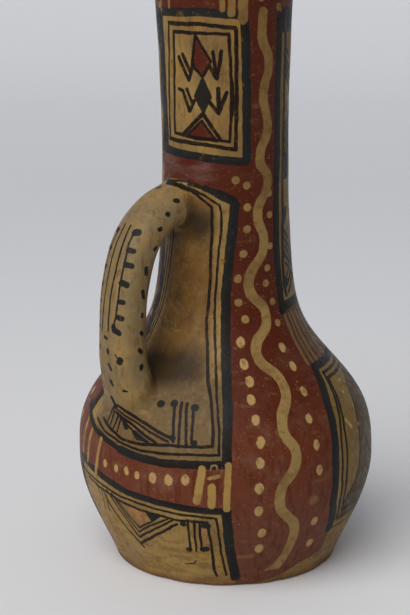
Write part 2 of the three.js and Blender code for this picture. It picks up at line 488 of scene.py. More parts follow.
def root_rings(vessel, profile, ring, ellipse, edge, direction):
    """Rings from a root's rectangle in the wall's grid to an end of the bar.

    The first lie in the wall and turn the rectangle into an ellipse. The others are cubic curves that leave
    the wall along its surface and meet the bar along its line. Each end's pull is as long as its own part
    of the way.
    """
    low, high = ring.min(axis=0), ring.max(axis=0)
    middle = (low + high) / 2
    square = ring - middle
    share_out = square / ((high - low) / 2)
    round_off = share_out / np.linalg.norm(share_out, axis=1, keepdims=True) * np.array(ellipse)
    share = (np.arange(1, FLAT_RINGS + 1) / FLAT_RINGS)[:, None, None]
    flat = square * (1 - share) + round_off * share + middle
    flat[..., 1] += WALL_COLUMNS / 2
    in_wall = wall_points(vessel, profile, flat[..., 0], flat[..., 1])
    start = in_wall[-1]
    inner = middle + round_off * 0.9
    along = unit(wall_points(vessel, profile, inner[:, 0], inner[:, 1] + WALL_COLUMNS / 2) - start)
    gap = edge - start
    least = 0.45 * np.linalg.norm(gap, axis=1, keepdims=True)
    bend = 1 + 0.6 * (1 - abs((along * direction).sum(1, keepdims=True)))
    pull_wall = np.maximum(bend * (gap * along).sum(1, keepdims=True), least)
    pull_bar = np.maximum(bend * (gap * direction).sum(1, keepdims=True), least)
    share = np.linspace(0, 1, RISING_RINGS + 2)[1:-1, None, None]
    rising = hermite(start, along * pull_wall, edge, direction * pull_bar, share)
    return np.concatenate([in_wall, rising])


def bar_rings(vessel, handle, sides):
    """The rings of the bar's rounded-rectangle section between its roots, and the way it goes at each."""
    angle = np.linspace(0, 2 * np.pi, sides, endpoint=False)
    line = handle_line(vessel, handle, LINE_SAMPLES)
    ahead = unit(np.gradient(line, axis=0))
    run = np.linspace(0, 1, LINE_SAMPLES)
    clear_top = line[:, 0] - (body_radius(vessel, line[:, 1]) + lean_at(vessel, line[:, 1]))
    begin = int(np.argmax(clear_top > CLEAR_OF_NECK))
    end = LINE_SAMPLES - 1 - int(np.argmax(line[::-1, 1] > handle.foot_z + CLEAR_OF_FOOT))
    length_m = float(np.hypot(*np.diff(line, axis=0).T).sum())
    steps = int(round(length_m * (run[end] - run[begin]) / BAR_STEP))
    at = np.linspace(run[begin], run[end], steps)
    middle = np.stack([np.interp(at, run, line[:, 0]), np.interp(at, run, line[:, 1])], axis=1)
    ahead = unit(np.stack([np.interp(at, run, ahead[:, 0]), np.interp(at, run, ahead[:, 1])], axis=1))
    outward = np.stack([-ahead[:, 1], ahead[:, 0]], axis=1)
    half_w = handle.width / 2 * (1 + 0.02 * np.sin(9 * at))
    half_t = handle.thickness / 2 * (0.96 + 0.16 * at)

    def squared(value):
        return np.sign(value) * np.abs(value) ** BAR_SQUARENESS

    out = squared(np.cos(angle))[None, :] * half_t[:, None]
    across = squared(np.sin(angle))[None, :] * half_w[:, None]
    rings = np.stack([
        -(middle[:, 0][:, None] + outward[:, 0][:, None] * out),
        across,
        middle[:, 1][:, None] + outward[:, 1][:, None] * out,
    ], axis=2)
    return rings, np.stack([-ahead[:, 0], np.zeros(steps), ahead[:, 1]], axis=1)


def add_handle(mesh, vessel, handle, shell, profile, top_rows, foot_rows, paint_heights):
    """Adds the bar and joins both its ends to the wall's rings, with its places on both maps."""
    centre = WALL_COLUMNS // 2
    ring_top = root_ring(TOP_ROOT_HALF, *top_rows, True)
    ring_foot = root_ring(FOOT_ROOT_HALF, *foot_rows, False)
    sides = len(ring_top)
    rings, travel = bar_rings(vessel, handle, sides)
    to_bar = root_rings(vessel, profile, ring_top, TOP_ELLIPSE, rings[0], travel[0])
    from_bar = root_rings(vessel, profile, ring_foot, FOOT_ELLIPSE, rings[-1], -travel[-1])[::-1]
    body = np.concatenate([to_bar, rings, from_bar])
    base = mesh.add_points(body.reshape(-1, 3))
    table = base + np.arange(len(body) * sides).reshape(len(body), sides)
    top_index = ring_top[:, 0] * WALL_COLUMNS + centre + ring_top[:, 1]
    foot_index = ring_foot[:, 0] * WALL_COLUMNS + centre + ring_foot[:, 1]
    table = np.concatenate([top_index[None], table, foot_index[None]])
    table = np.concatenate([table, table[:, :1]], axis=1)

    everything = np.concatenate([
        shell[ring_top[:, 0], centre + ring_top[:, 1]][None],
        body,
        shell[ring_foot[:, 0], centre + ring_foot[:, 1]][None],
    ])
    everything = np.concatenate([everything, everything[:, :1]], axis=1)
    x, y, z = np.moveaxis(everything, 2, 0)
    turn = np.arctan2(y, x + lean_at(vessel, z)) % (2 * np.pi)
    on_wall = np.stack([np.radians(turn_to_deg(turn)), np.interp(z, *paint_heights)], axis=2)
    # on the bar itself: way round from the middle of its outer face, and way along its line
    around = np.linalg.norm(np.diff(everything, axis=1), axis=2)
    around = np.concatenate([np.zeros((len(everything), 1)), np.cumsum(around, axis=1)], axis=1)
    full = around[:, -1:]
    signed = np.where(np.arange(sides + 1) > sides / 2, around - full, around)
    signed_end = signed.copy()
    signed_end[:, sides // 2] = -signed[:, sides // 2]
    lead = FLAT_RINGS + RISING_RINGS
    outer_line = np.linalg.norm(np.diff(everything[:, 0], axis=0), axis=1)
    travelled = np.concatenate(([0], np.cumsum(outer_line)))
    travelled -= travelled[lead]

    cells = grid_corners(table)
    wall_cells = grid_corners(on_wall)
    left = np.arange(sides)[None, :] < sides // 2
    bar_near = np.stack([signed, np.broadcast_to(travelled[:, None], signed.shape)], axis=2)
    bar_far = np.stack([signed_end, np.broadcast_to(travelled[:, None], signed.shape)], axis=2)
    bar_cells = np.where(left[:, :, None, None], grid_corners(bar_near), grid_corners(bar_far))
    ring_no = np.arange(len(cells))[:, None]
    on_bar = (ring_no >= lead - 4) & (ring_no < lead + len(rings) + 5)
    on_bar = np.broadcast_to(on_bar, cells.shape[:2])
    slot = np.where(on_bar, HANDLE_PAINTED, PAINTED)
    paint = np.where(on_bar[:, :, None, None], bar_cells, wall_cells)
    share = np.stack(np.broadcast_arrays(
        np.linspace(0, 1, len(everything))[:, None],
        np.linspace(0, 1, sides + 1)[None, :],
    ), axis=2)
    bake = in_box(BAKE_HANDLE, share[..., 0], share[..., 1])
    mesh.add_faces(cells.reshape(-1, 4), slot.reshape(-1), paint, grid_corners(bake))


def settle(points, amount, z_quiet):
    """How far the surface sinks at each point, up to amount, in slow waves, so that it looks worked by hand.

    The waves are four sines of the place, two of them times a cosine, added up and scaled to run from
    nought to amount. They fade out towards the foot over the height z_quiet.
    """
    x, y, z = (points / 0.1).T
    crest = 2.45  # the sum when all four waves are at their highest
    wave = (
        np.sin(4.1 * x + 1.9 * z + 0.4) * np.cos(3.3 * y - 2.3 * z)
        + 0.7 * np.sin(7.3 * y + 5.1 * z + 1.1) * np.cos(6.1 * x - 1.7)
        + 0.45 * np.sin(13.0 * z + 5.0 * x - 3.0 * y)
        + 0.3 * np.sin(21.0 * z - 11.0 * y + 9.0 * x + 0.6)
    ) / crest
    return amount * (0.5 + 0.5 * wave) * np.clip(z * 0.1 / z_quiet, 0, 1)


def make_object(name, mesh, points, girth):
    """Turns the gathered arrays into one mesh object, leaving out the points that no face uses."""
    faces = [face for group in mesh.faces for face in group.tolist()]
    used = np.unique(np.concatenate([group.reshape(-1) for group in mesh.faces]))
    renumber = np.full(len(points), -1)
    renumber[used] = np.arange(len(used))
    data = bpy.data.meshes.new(name)
    data.from_pydata(points[used].tolist(), [], [renumber[face].tolist() for face in faces])
    data.polygons.foreach_set("material_index", np.concatenate(mesh.slots).astype(np.int32))
    data.polygons.foreach_set("use_smooth", np.ones(len(faces), bool))
    for layer_name, values in (("OFBake", mesh.bake), ("Paint", mesh.paint)):
        layer = data.uv_layers.new(name=layer_name)
        layer.data.foreach_set("uv", np.concatenate(values).astype(np.float32).reshape(-1))
    attribute = data.attributes.new("girth", "FLOAT", "POINT")
    attribute.data.foreach_set("value", girth[used].astype(np.float32))
    data.update()
    made = bpy.data.objects.new(name, data)
    bpy.context.scene.collection.objects.link(made)
    return made


def read_vectors(collection, name):
    """One vector of each of a mesh's parts, as rows of three numbers."""
    values = np.zeros(len(collection) * 3, np.float32)
    collection.foreach_get(name, values)
    return values.reshape(-1, 3).astype(float)


class Value:
    """A number that varies over the surface. Python's operators on it add Math nodes."""

    def __init__(self, finish, socket):
        self.finish = finish
        self.socket = socket

    def math(self, operation, *others):
        return self.finish.node("ShaderNodeMath", {"operation": operation}, dict(enumerate((self, *others))))

    def __add__(self, other):
        return self.math("ADD", other)

    __radd__ = __add__

    def __mul__(self, other):
        return self.math("MULTIPLY", other)

    __rmul__ = __mul__

    def __sub__(self, other):
        return self.math("SUBTRACT", other)

    def __rsub__(self, other):
        return self.finish.node("ShaderNodeMath", {"operation": "SUBTRACT"}, {0: other, 1: self})

    def __truediv__(self, other):
        return self.math("DIVIDE", other)

    def __pow__(self, other):
        return self.math("POWER", other)

    def __abs__(self):
        return self.math("ABSOLUTE")

    def lower(self, other):
        return self.math("MINIMUM", other)

    def higher(self, other):
        return self.math("MAXIMUM", other)

    def output(self, number):
        """Another output of the same node."""
        return Value(self.finish, self.socket.node.outputs[number])

    def wrapped(self, half):
        """Brought back between -half and half, as often as it takes."""
        return self.math("WRAP", half, -half)


class Nodes:
    """Adds nodes to one tree."""

    def __init__(self, tree):
        self.tree = tree

    def node(self, kind, settings=None, inputs=None, output=0):
        """Adds a node, sets it up, then gives or links its sockets, and returns one output."""
        made = self.tree.nodes.new(kind)
        for name, value in (settings or {}).items():
            if name == "points":
                self.set_curve(made.mapping, value)
            else:
                setattr(made, name, value)
        for key, value in (inputs or {}).items():
            self.feed(made.inputs[key], value)
        return Value(self, made.outputs[output])

    def feed(self, socket, value):
        if isinstance(value, Value):
            self.tree.links.new(value.socket, socket)
        else:
            socket.default_value = value

    @staticmethod
    def set_curve(mapping, points):
        curve = mapping.curves[0]
        while len(curve.points) < len(points):
            curve.points.new(0.5, 0.5)
        for point, place in zip(curve.points, points):
            point.location = place
        mapping.update()

    def vector(self, operation, *values, output=0):
        return self.node("ShaderNodeVectorMath", {"operation": operation}, dict(enumerate(values)), output)

    def scaled(self, vector, share):
        """A vector made longer or shorter by a number."""
        made = self.vector("SCALE", vector)
        self.feed(made.socket.node.inputs[3], share)
        return made

    def mix(self, share, a, b):
        """Colour a turning into colour b by a share."""
        settings = {"data_type": "RGBA", "blend_type": "MIX", "clamp_factor": True}
        inputs = {0: share, 6: self.rgba(a), 7: self.rgba(b)}
        return self.node("ShaderNodeMix", settings, inputs, 2)

    @staticmethod
    def rgba(value):
        return value if isinstance(value, Value) else (*tuple(value)[:3], 1)

    def noise(self, place, scale, detail=3, rough=0.55, output=0):
        inputs = {"Vector": place, "Scale": scale, "Detail": detail, "Roughness": rough}
        return self.node("ShaderNodeTexNoise", {}, inputs, output)

    def rise(self, value, low, high, smooth=True):
        """0 below low, 1 above high, and a ramp between; low may be above high."""
        kind = "SMOOTHSTEP" if smooth else "LINEAR"
        inputs = {"Value": value, "From Min": low, "From Max": high, "To Min": 0.0, "To Max": 1.0}
        return self.node("ShaderNodeMapRange", {"interpolation_type": kind, "clamp": True}, inputs)

    def curve(self, value, points, low, high):
        """A smooth curve through (place, result) points, all of them between the limits low and high."""
        places = [p[0] for p in points]
        span = high[0] - low[0]
        rise = high[1] - low[1]
        if places[0] > places[-1]:
            points = points[::-1]
        scaled = [((x - low[0]) / span, (y - low[1]) / rise) for x, y in points]
        share = (value - low[0]) / span
        made = self.node("ShaderNodeFloatCurve", {"points": scaled}, {"Factor": 1.0, "Value": share})
        return made * rise + low[1]


class Finish(Nodes):
    """One material and its surface shader."""

    def __init__(self, name):
        self.material = bpy.data.materials.new(name)
        self.material.use_nodes = True
        super().__init__(self.material.node_tree)
        self.tree.nodes.clear()
        self.shader = self.tree.nodes.new("ShaderNodeBsdfPrincipled")
        output = self.tree.nodes.new("ShaderNodeOutputMaterial")
        self.tree.links.new(self.shader.outputs["BSDF"], output.inputs["Surface"])

    def object_place(self):
        return self.node("ShaderNodeTexCoord", {}, {}, "Object")

    def motif(self, name, draw, place, spot, girth):
        """A node group that draws one motif at a place and gives its distance in metres."""
        part = Nodes(bpy.data.node_groups.new(name, "ShaderNodeTree"))
        for title, direction, kind in (
            ("Place", "INPUT", "NodeSocketVector"),
            ("Girth", "INPUT", "NodeSocketFloat"),
            ("Distance", "OUTPUT", "NodeSocketFloat"),
        ):
            part.tree.interface.new_socket(title, in_out=direction, socket_type=kind)
        start = part.node("NodeGroupInput")
        brush = Brush(part, start, spot, start.output(1) if girth else None)
        draw(brush)
        end = part.tree.nodes.new("NodeGroupOutput")
        part.feed(end.inputs[0], brush.take())
        inputs = {0: place, 1: girth} if girth else {0: place}
        return self.node("ShaderNodeGroup", {"node_tree": part.tree}, inputs)


class Brush:
    """Draws strokes, dots and filled shapes as distances from a place on a flat map.

    spot turns a motif's (across, up) into the map's own units, and metre turns a map distance into metres.
    """

    def __init__(self, finish, place, spot, metre):
        self.finish = finish
        self.place = place
        self.spot = spot
        self.metre = metre
        self.found = None

    def keep(self, distance):
        self.found = distance if self.found is None else self.found.lower(distance)

    def take(self):
        found, self.found = self.found, None
        return found

    def to_metres(self, distance, less):
        if self.metre is None:
            return distance - less
        return distance.math("MULTIPLY_ADD", self.metre, -less)

    def segment(self, a, b):
        """Distance from a straight stroke: the share of the way from a to b is held within 0 to 1."""
        way = np.subtract(b, a)
        squared_length = float((way**2).sum())
        off = self.finish.vector("SUBTRACT", self.place, (*a, 0))
        share = self.finish.vector("DOT_PRODUCT", off, (*(way / squared_length), 0), output=1)
        share = self.finish.node("ShaderNodeClamp", {}, {"Value": share})
        nearest = self.finish.scaled((*way, 0), share)
        return self.finish.vector("DISTANCE", off, nearest, output=1)

    def stroke(self, points, width_mm):
        """A run of straight strokes with round ends, of one width."""
        spots = [self.spot(*p) for p in points]
        run = None
        for a, b in zip(spots, spots[1:]):
            distance = self.segment(a, b)
            run = distance if run is None else run.lower(distance)
        self.keep(self.to_metres(run, width_mm / 2 * MM))

    def dots(self, points, radius_mm):
        """Round dabs of one size."""
        run = None
        for p in points:
            distance = self.finish.vector("DISTANCE", self.place, (*self.spot(*p), 0), output=1)
            run = distance if run is None else run.lower(distance)
        self.keep(self.to_metres(run, radius_mm * MM))

    def outline(self, corners):
        """Distance inside (below 0) or outside a convex shape: the farthest of its edges' half planes."""
        spots = [self.spot(*p) for p in corners]
        middle = np.mean(spots, axis=0)
        run = None
        for a, b in zip(spots, spots[1:] + spots[:1]):
            way = np.subtract(b, a)
            normal = np.array([way[1], -way[0]]) / math.hypot(*way)
            if float(np.dot(normal, np.subtract(middle, a))) > 0:
                normal = -normal
            distance = self.finish.vector("DOT_PRODUCT", self.place, (*normal, 0), output=1)
            distance = distance - float(np.dot(normal, a))
            run = distance if run is None else run.higher(distance)
        return self.to_metres(run, 0.0)


# The pattern's plan: three panels and three red bands go round, so one band's degrees serve all
THIRD_DEG = 60  # half the way from one band to the next
BAND_MIDDLE_DEG = 30
SIDE_PANEL_DEG = 94  # middle of the panel that comes after that band
HANDLE_PANEL_DEG = -26
HANDLE_PANEL_HALF_DEG = 50
STRIPES_MM = 123
STRIPES_HALF_MM = 14
LEAF_MIDDLE_MM = 70
RED_TOP_MM = 290
RIM_MM = 322

# Thick blue-black borders on both sides of every upright red band: points and width
PANEL_BORDERS = (
    ([(16.5, 287), (17.5, 280), (19.5, 250), (19.5, 216)], 4.7),
    ([(8.5, 194.5), (6.5, 182), (3, 165), (0.5, 150), (0, 130), (0.5, 110), (1, 98), (0.5, 73), (0.5, 45),
      (1.5, 28), (3, 17), (5, 5.5)], 5.1),
    ([(53.5, 286), (53.5, 244), (54, 219), (52, 194), (50, 168), (51.5, 147), (50, 137.5)], 5.1),
    ([(56.5, 108.5), (53.5, 101), (50.5, 95), (47.5, 81.5), (46, 67), (46, 56), (46, 45), (48.5, 33),
      (49.5, 27)], 5.4),
)
# Borders that only the handle's panel has
HANDLE_PANEL_BORDERS = (
    ([(-68, 288), (-20, 289.5), (9, 288.5), (16.5, 287.5)], 4.4),
    ([(-68, 219), (-25, 217.5), (18.5, 215)], 4.2),
    ([(-75, 286), (-75, 221)], 8.5),
    ([(-66, 203.5), (-42.5, 205), (-33, 204)], 1.2),
    ([(-33, 203.5), (-18, 201.5)], 2.2),
    ([(-18, 201.5), (-6, 199)], 3.3),
    ([(-6, 199), (7.5, 195.5)], 4.5),
    ([(-73, 139), (-69.5, 109)], 4.6),
    ([(-76, 86), (-69, 81), (-62, 77.5), (-53, 75), (-44, 72.5)], 3.2),
    ([(-44, 72.5), (-34, 71), (-25, 70.5), (-13, 71), (0, 71.5)], 4.4),
    ([(-76, 59), (-57, 55.5), (-49, 53.5), (-40, 51), (-33, 50), (-25, 49), (-13, 47.5), (1, 47)], 3.8),
)
# Borders across the panels away from the handle
SIDE_PANEL_BORDERS = (
    ([(62, 284), (94, 284)], 13.0),
    ([(50, 139), (94, 140)], 5.0),
    ([(57, 109), (94, 110)], 4.6),
)
# Edges of the red bands across the handle's panel: degrees, then height
NECK_BAND_TOP = ((-80, 219), (-68, 219), (-25, 217.5), (18.5, 215), (30, 214))
NECK_BAND_FOOT = (
    (-80, 202), (-66, 203.5), (-42.5, 205), (-33, 204), (-18, 201.5), (-6, 199), (8, 195.5), (30, 194),
)
BELLY_BAND_TOP = (
    (-80, 87), (-69, 81), (-62, 77.5), (-53, 75), (-44, 72.5), (-34, 71), (-25, 70.5), (0, 71.5), (30, 72),
)
BELLY_BAND_FOOT = (
    (-80, 59), (-57, 55.5), (-49, 53.5), (-40, 51), (-33, 50), (-25, 49), (-13, 47.5), (30, 46.5),
)
# Edges of the upright red band: height, then degrees
LEFT_EDGE = (
    (0, 6), (15, 3), (30, 1.5), (45, 0.5), (75, 0.5), (100, 1), (110, 0.5), (130, 0), (150, 0.5),
    (165, 3), (182, 6.5), (193, 8), (204, 13), (214, 19), (250, 19), (280, 17.5), (290, 16.5), (345, 16.5),
)
RIGHT_EDGE = (
    (0, 10), (5, 30), (7, 34), (9.5, 38.5), (12, 47), (14, 50.5), (20, 50.5), (27, 49.5), (33, 48.5),
    (45, 46), (56, 46), (67, 46), (81.5, 47.5), (95, 50.5), (102, 53.5), (109, 57), (124, 54), (139, 50.5),
    (147, 51.5), (168, 50), (194, 52), (219, 54), (250, 53.5), (285, 53.5), (345, 53),
)
# The dark curve that bounds a leaf on each belly panel at the sides: height, then degrees
LEAF_EDGE = (
    (38, 53.5), (44, 55.5), (51, 59.5), (58, 62), (66, 63.5), (76, 65), (85, 68), (93.5, 73.5), (102, 86),
)

# The wavy yellow line's turning points: height, then degrees
WAVE = (
    (8, 22), (31, 29), (52, 20.5), (74, 27.5), (87, 23.5), (105, 30), (120, 20), (136, 33), (152.5, 19.5),
    (174, 35.5), (187.5, 29.5), (205, 41.5), (216, 32.5), (232, 41), (248, 36), (263, 41), (278, 33),
    (290, 34),
)
WAVE_WIDTH = 5.5
WAVE_ENDS = (8.5, 289)
WAVE_TOP = (34, 289)
# Round dots on the neck, then the taller ones on the body: places and radius
NECK_DOTS = (
    ([(19.5, 192), (19, 181), (15.5, 168.5), (10.5, 156), (10.5, 144), (15, 135.5), (9.5, 206), (19.5, 203)],
     2.05),
    ([(43, 198), (42.5, 187), (42, 171), (38, 160), (35.5, 152.5), (41, 142.5), (42.5, 132), (51.5, 291),
      (31.5, 296)], 1.85),
    ([WAVE_TOP], WAVE_WIDTH / 2),
)
BODY_DOTS = (
    ([(10.5, 125), (11, 115.5), (12.5, 108), (12, 100.5), (12.5, 92), (13.5, 82), (13, 72), (12.5, 59),
      (12.5, 46.5), (14.5, 33.5), (14.5, 23.5)], 2.2),
    ([(39.5, 120.5), (41, 112), (40, 101), (36.5, 89.5), (37, 77), (37.5, 64), (38, 35.5), (39.5, 21.5)],
     2.0),
)
BELLY_BAND_DOTS = (
    ([(-52, 62.5), (-45.5, 62), (-40, 62.5), (-35, 61.5)], 1.55),
    ([(-28, 62), (-21.5, 62), (-15, 63)], 2.15),
)
DOT_SQUASH = 0.75  # the map is made this much lower where the dots are taller than wide
# Yellow bars: points and width
BELLY_BARS = (
    ([(-8.5, 69), (-9.5, 61), (-10.5, 52.5)], 4.1),
    ([(-5, 60), (-5, 50.5)], 4.0),
    ([(1, 71.5), (0.5, 48.5)], 3.4),
    ([(-56, 74), (-59, 55)], 2.6),
    ([(-64.5, 75.5), (-66.5, 58.5)], 2.6),
    ([(-71, 79), (-72.5, 61)], 2.6),
    ([(-5.5, 69), (-5, 71), (-4, 71.5), (-3.5, 71), (-3, 69)], 0.8),
    ([(-6, 64.5), (-2.5, 66)], 1.7),
)
NECK_TOP_BARS = (
    ([(-64.5, 289), (-64, 322)], 1.7),
    ([(-51.5, 291), (-51, 322)], 1.7),
    ([(-1.5, 291), (-1.5, 322)], 2.7),
    ([(6, 289), (7, 322)], 3.8),
    ([(15.5, 286), (16, 322)], 5.0),
)
# Stripes on the shoulder below the side panels: degrees at their tops and width
SHOULDER_STRIPES = ((52.3, 2.2), (57.5, 1.5), (62.5, 2.3), (69, 1.6), (77, 2.3), (85.5, 1.8), (92, 2.0))


def wall_spot(sizes, squash=1.0):
    """A function from degrees round and millimetres up to the wall's paint map.

    squash makes the map's heights smaller, and a round dab drawn on such a map is a tall one.
    """
    heights, map_heights = paint_map(sizes)

    def spot(deg, up_mm):
        return math.radians(deg), squash * float(np.interp(up_mm * MM, heights, map_heights))

    return spot


def strokes(marks):
    """A drawing of strokes, each given as its points and its width in millimetres."""

    def draw(brush):
        for points, width in marks:
            brush.stroke(points, width)

    return draw


def dots(groups):
    """A drawing of round dabs, in groups of their places and one radius in millimetres."""

    def draw(brush):
        for places, radius in groups:
            brush.dots(places, radius)

    return draw


def lowest(first, *others):
    """The least of several numbers, which joins their shapes where the numbers are distances."""
    for other in others:
        first = first.lower(other)
    return first


def surface_inputs(finish):
    """A point's place, the wall's radius at its height, its place on the paint map and its height in mm."""
    where = finish.object_place()
    girth = finish.node("ShaderNodeAttribute", {"attribute_name": "girth"}, {}, "Fac")
    flat = finish.node("ShaderNodeUVMap", {"uv_map": "Paint"})
    height_mm = finish.node("ShaderNodeSeparateXYZ", {}, {0: where}, 2) * 1000
    return where, girth, flat, height_mm


def off_wall_share(finish, where, girth, low_mm, high_mm):
    """How far a place stands off the body's own wall: nought below the low limit and 1 above the high one."""
    off_axis = finish.vector("LENGTH", finish.vector("MULTIPLY", where, (1, 1, 0)), output=1)
    return finish.rise(off_axis - girth, low_mm * MM, high_mm * MM)


def hand_drift(finish, where, amount, scale):
    """A slow drift of the brush: noise in three directions, centred on nought."""
    drift = finish.noise(where, scale, 2, 0.5, output=1)
    drift = finish.vector("SUBTRACT", drift, (0.5, 0.5, 0.5))
    return finish.vector("MULTIPLY", drift, (amount, amount, amount))


def band_gaps(finish, height_mm, across_deg):
    """How far a place is outside each of the two red bands across the handle's panel, in millimetres."""
    limits = ((-80, 0), (30, 250))
    gaps = []
    for top, foot in ((NECK_BAND_TOP, NECK_BAND_FOOT), (BELLY_BAND_TOP, BELLY_BAND_FOOT)):
        over = height_mm - finish.curve(across_deg, top, *limits)
        gaps.append(over.higher(finish.curve(across_deg, foot, *limits) - height_mm))
    return gaps


def wave_distance(finish, height_mm, folded_deg, arc_mm):
    """Distance to the wavy line's edge: the gap across it over the root of 1 + its slope squared."""
    limits = ((0, 0), (300, 60))
    apart = 3.0  # millimetres between the two heights at which the slope is measured
    middle_line = finish.curve(height_mm, WAVE, *limits)
    below = finish.curve(height_mm - apart / 2, WAVE, *limits)
    above = finish.curve(height_mm + apart / 2, WAVE, *limits)
    slope = (above - below) * arc_mm / apart
    slant = (slope * slope + 1).math("SQRT")
    wave = abs(folded_deg - middle_line) * arc_mm / slant - WAVE_WIDTH / 2
    middle = (WAVE_ENDS[0] + WAVE_ENDS[1]) / 2
    return wave.higher(abs(height_mm - middle) - (WAVE_ENDS[1] - WAVE_ENDS[0]) / 2)


def paint_wall(sizes, colours):
    """Ground, red fields, yellow strokes, then thick and thin black strokes, each worn a little."""
    finish = Finish("painted_wall")
    spot = wall_spot(sizes)
    squat_spot = wall_spot(sizes, DOT_SQUASH)
    where, girth, flat, height_mm = surface_inputs(finish)
    drift = hand_drift(finish, where, 1.1 * MM, 130)
    shifted = finish.scaled(drift, girth ** -1.0)
    place = finish.vector("ADD", flat, shifted)
    across = finish.node("ShaderNodeSeparateXYZ", {}, {0: place})
    up = across.output(1)

    # the pattern's degrees are folded three times round, and the side panels are mirrored about their middle
    third = math.radians(THIRD_DEG)
    band_middle = math.radians(BAND_MIDDLE_DEG)
    folded = (across - band_middle).wrapped(third) + band_middle
    folded_place = finish.node("ShaderNodeCombineXYZ", {}, {0: folded, 1: up})
    side_middle = math.radians(SIDE_PANEL_DEG)
    side = side_middle - abs((across - side_middle).wrapped(third))
    side_place = finish.node("ShaderNodeCombineXYZ", {}, {0: side, 1: up})
    across_deg = across * (180 / math.pi)
    folded_deg = folded * (180 / math.pi)
    side_deg = side * (180 / math.pi)
    arc_mm = girth * (math.pi / 180 * 1000)

    from_handle_panel = abs(across_deg - HANDLE_PANEL_DEG)
    off_handle_panel = finish.rise(from_handle_panel, HANDLE_PANEL_HALF_DEG, HANDLE_PANEL_HALF_DEG + 2)
    on_handle_side = 1 - off_handle_panel
    ragged = finish.noise(where, 420, 3, 0.6)

    def here(name, draw):
        return finish.motif(name, draw, place, spot, girth)

    def on_sides(name, draw):
        return finish.motif(name, draw, side_place, spot, girth) + on_handle_side

    def on_squat_map(name, groups, on_place):
        low_place = finish.vector("MULTIPLY", on_place, (1, DOT_SQUASH, 1))
        return finish.motif(name, dots(groups), low_place, squat_spot, girth)

    def near(value, middle, outer, inner):
        """1 within the inner distance of a middle, fading to nought at the outer one."""
        return finish.rise(abs(value - middle), outer, inner)

    def laid(distance_mm, raggedness, soft_mm):
        """The share covered by a paint, from the distance to its edge, which is ragged and a little soft."""
        return finish.rise(distance_mm + (ragged - 0.5) * raggedness, soft_mm, -soft_mm)

    # red: the upright bands, and the two bands across the handle's panel
    limits = ((0, -20), (350, 80))
    left_edge = finish.curve(height_mm, LEFT_EDGE, *limits)
    right_edge = finish.curve(height_mm, RIGHT_EDGE, *limits)
    band = (left_edge - folded_deg).higher(folded_deg - right_edge) * arc_mm
    gaps = band_gaps(finish, height_mm, across_deg)
    nearest_gap = gaps[0].lower(gaps[1])
    stripes = abs(height_mm - STRIPES_MM) - STRIPES_HALF_MM + on_handle_side * 100
    red = lowest(band, nearest_gap + off_handle_panel * 100, stripes, RED_TOP_MM - height_mm)
    red = laid(red.higher(height_mm - RIM_MM), 0.8, 0.25)

    # yellow: the wave, dots and bars
    wave = wave_distance(finish, height_mm, folded_deg, arc_mm)
    dabs = finish.motif("neck_dots", dots(NECK_DOTS), folded_place, spot, girth)
    tall = on_squat_map("body_dots", BODY_DOTS, folded_place)
    slim = on_squat_map("belly_band_dots", BELLY_BAND_DOTS, place)
    yellow = dabs.lower(here("neck_top_bars", strokes(NECK_TOP_BARS))) * 1000
    yellow = laid(yellow.lower(wave), 0.9, 0.25)
    bright = laid(here("belly_bars", strokes(BELLY_BARS)) * 1000, 0.9, 0.25)
    # pale: the belly's dots, and the painted highlights on the side leaves
    pale = laid(lowest(slim, tall, on_sides("leaf_highlights", draw_leaf_highlights)) * 1000, 1.2, 0.3)
    faint = laid(here("faint_marks", draw_faint_marks) * 1000, 3, 1.2)
    stripe = laid(on_sides("shoulder_stripes", draw_stripes) * 1000, 0.9, 0.3)

    # black: the thick borders and filled shapes, then the thin lines, which are pressed unevenly
    borders = finish.motif("panel_borders", strokes(PANEL_BORDERS), folded_place, spot, girth)
    borders = lowest(
        borders + finish.rise(nearest_gap, 0.3, -0.3) * on_handle_side,
        here("handle_panel_borders", strokes(HANDLE_PANEL_BORDERS)),
        on_sides("side_panel_borders", strokes(SIDE_PANEL_BORDERS)),
        on_sides("side_hatching", draw_side_hatching),
        here("filled_motifs", draw_filled_motifs),
    )
    borders = laid(borders * 1000, 0.7, 0.22)
    press = finish.noise(where, 60, 2, 0.5)
    thin = lowest(
        here("neck_panel", draw_neck_panel),
        here("tall_frames", draw_tall_frames),
        here("arms_under_handle", draw_arms_under_handle),
        here("belly_panel", draw_belly_panel),
        on_sides("side_lines", draw_side_lines),
    )
    thin = laid(thin * 1000 + (press - 0.5) * 0.5, 0.55, 0.22)
    red = red.higher(finish.rise(here("panel_reds", draw_panel_reds) * 1000, 0.2, -0.2))

    # the tall panel behind the handle is smoked brown, most by the handle's roots, where the darkest patches
    # are partly painted shade of the crotches
    smoke = finish.noise(where, 40, 3, 0.6)
    behind = near(across_deg, -33, 27, 20) * near(height_mm, 147, 57, 44)
    rubbed = off_wall_share(finish, where, girth, 1, 11)
    on_wall = 1 - rubbed
    stained = behind * (0.85 + (smoke - 0.5) * 1.1) * on_wall
    # dark patches by the handle's roots: smoke stain and painted shade of the crotches
    sooty_shade = finish.rise(here("soot_and_shade_patches", draw_soot_and_shade_patches) * 1000 + (smoke - 0.5) * 12, 10, -2) * on_wall
    under_handle = near(across_deg, -30, 36, 28)
    # painted shade under the handle's foot, where its shade falls
    shade_under_handle_foot = under_handle * finish.rise(abs(height_mm - 90) + (smoke - 0.5) * 12, 22, 14) * on_wall
    smoky = near(across_deg, -45, 42, 20) * finish.rise(gaps[0], -1, -3) * on_handle_side
    brown_field = finish.rise(stripes, 0.3, -0.3) * finish.rise(side_deg - right_edge, -2, -1)
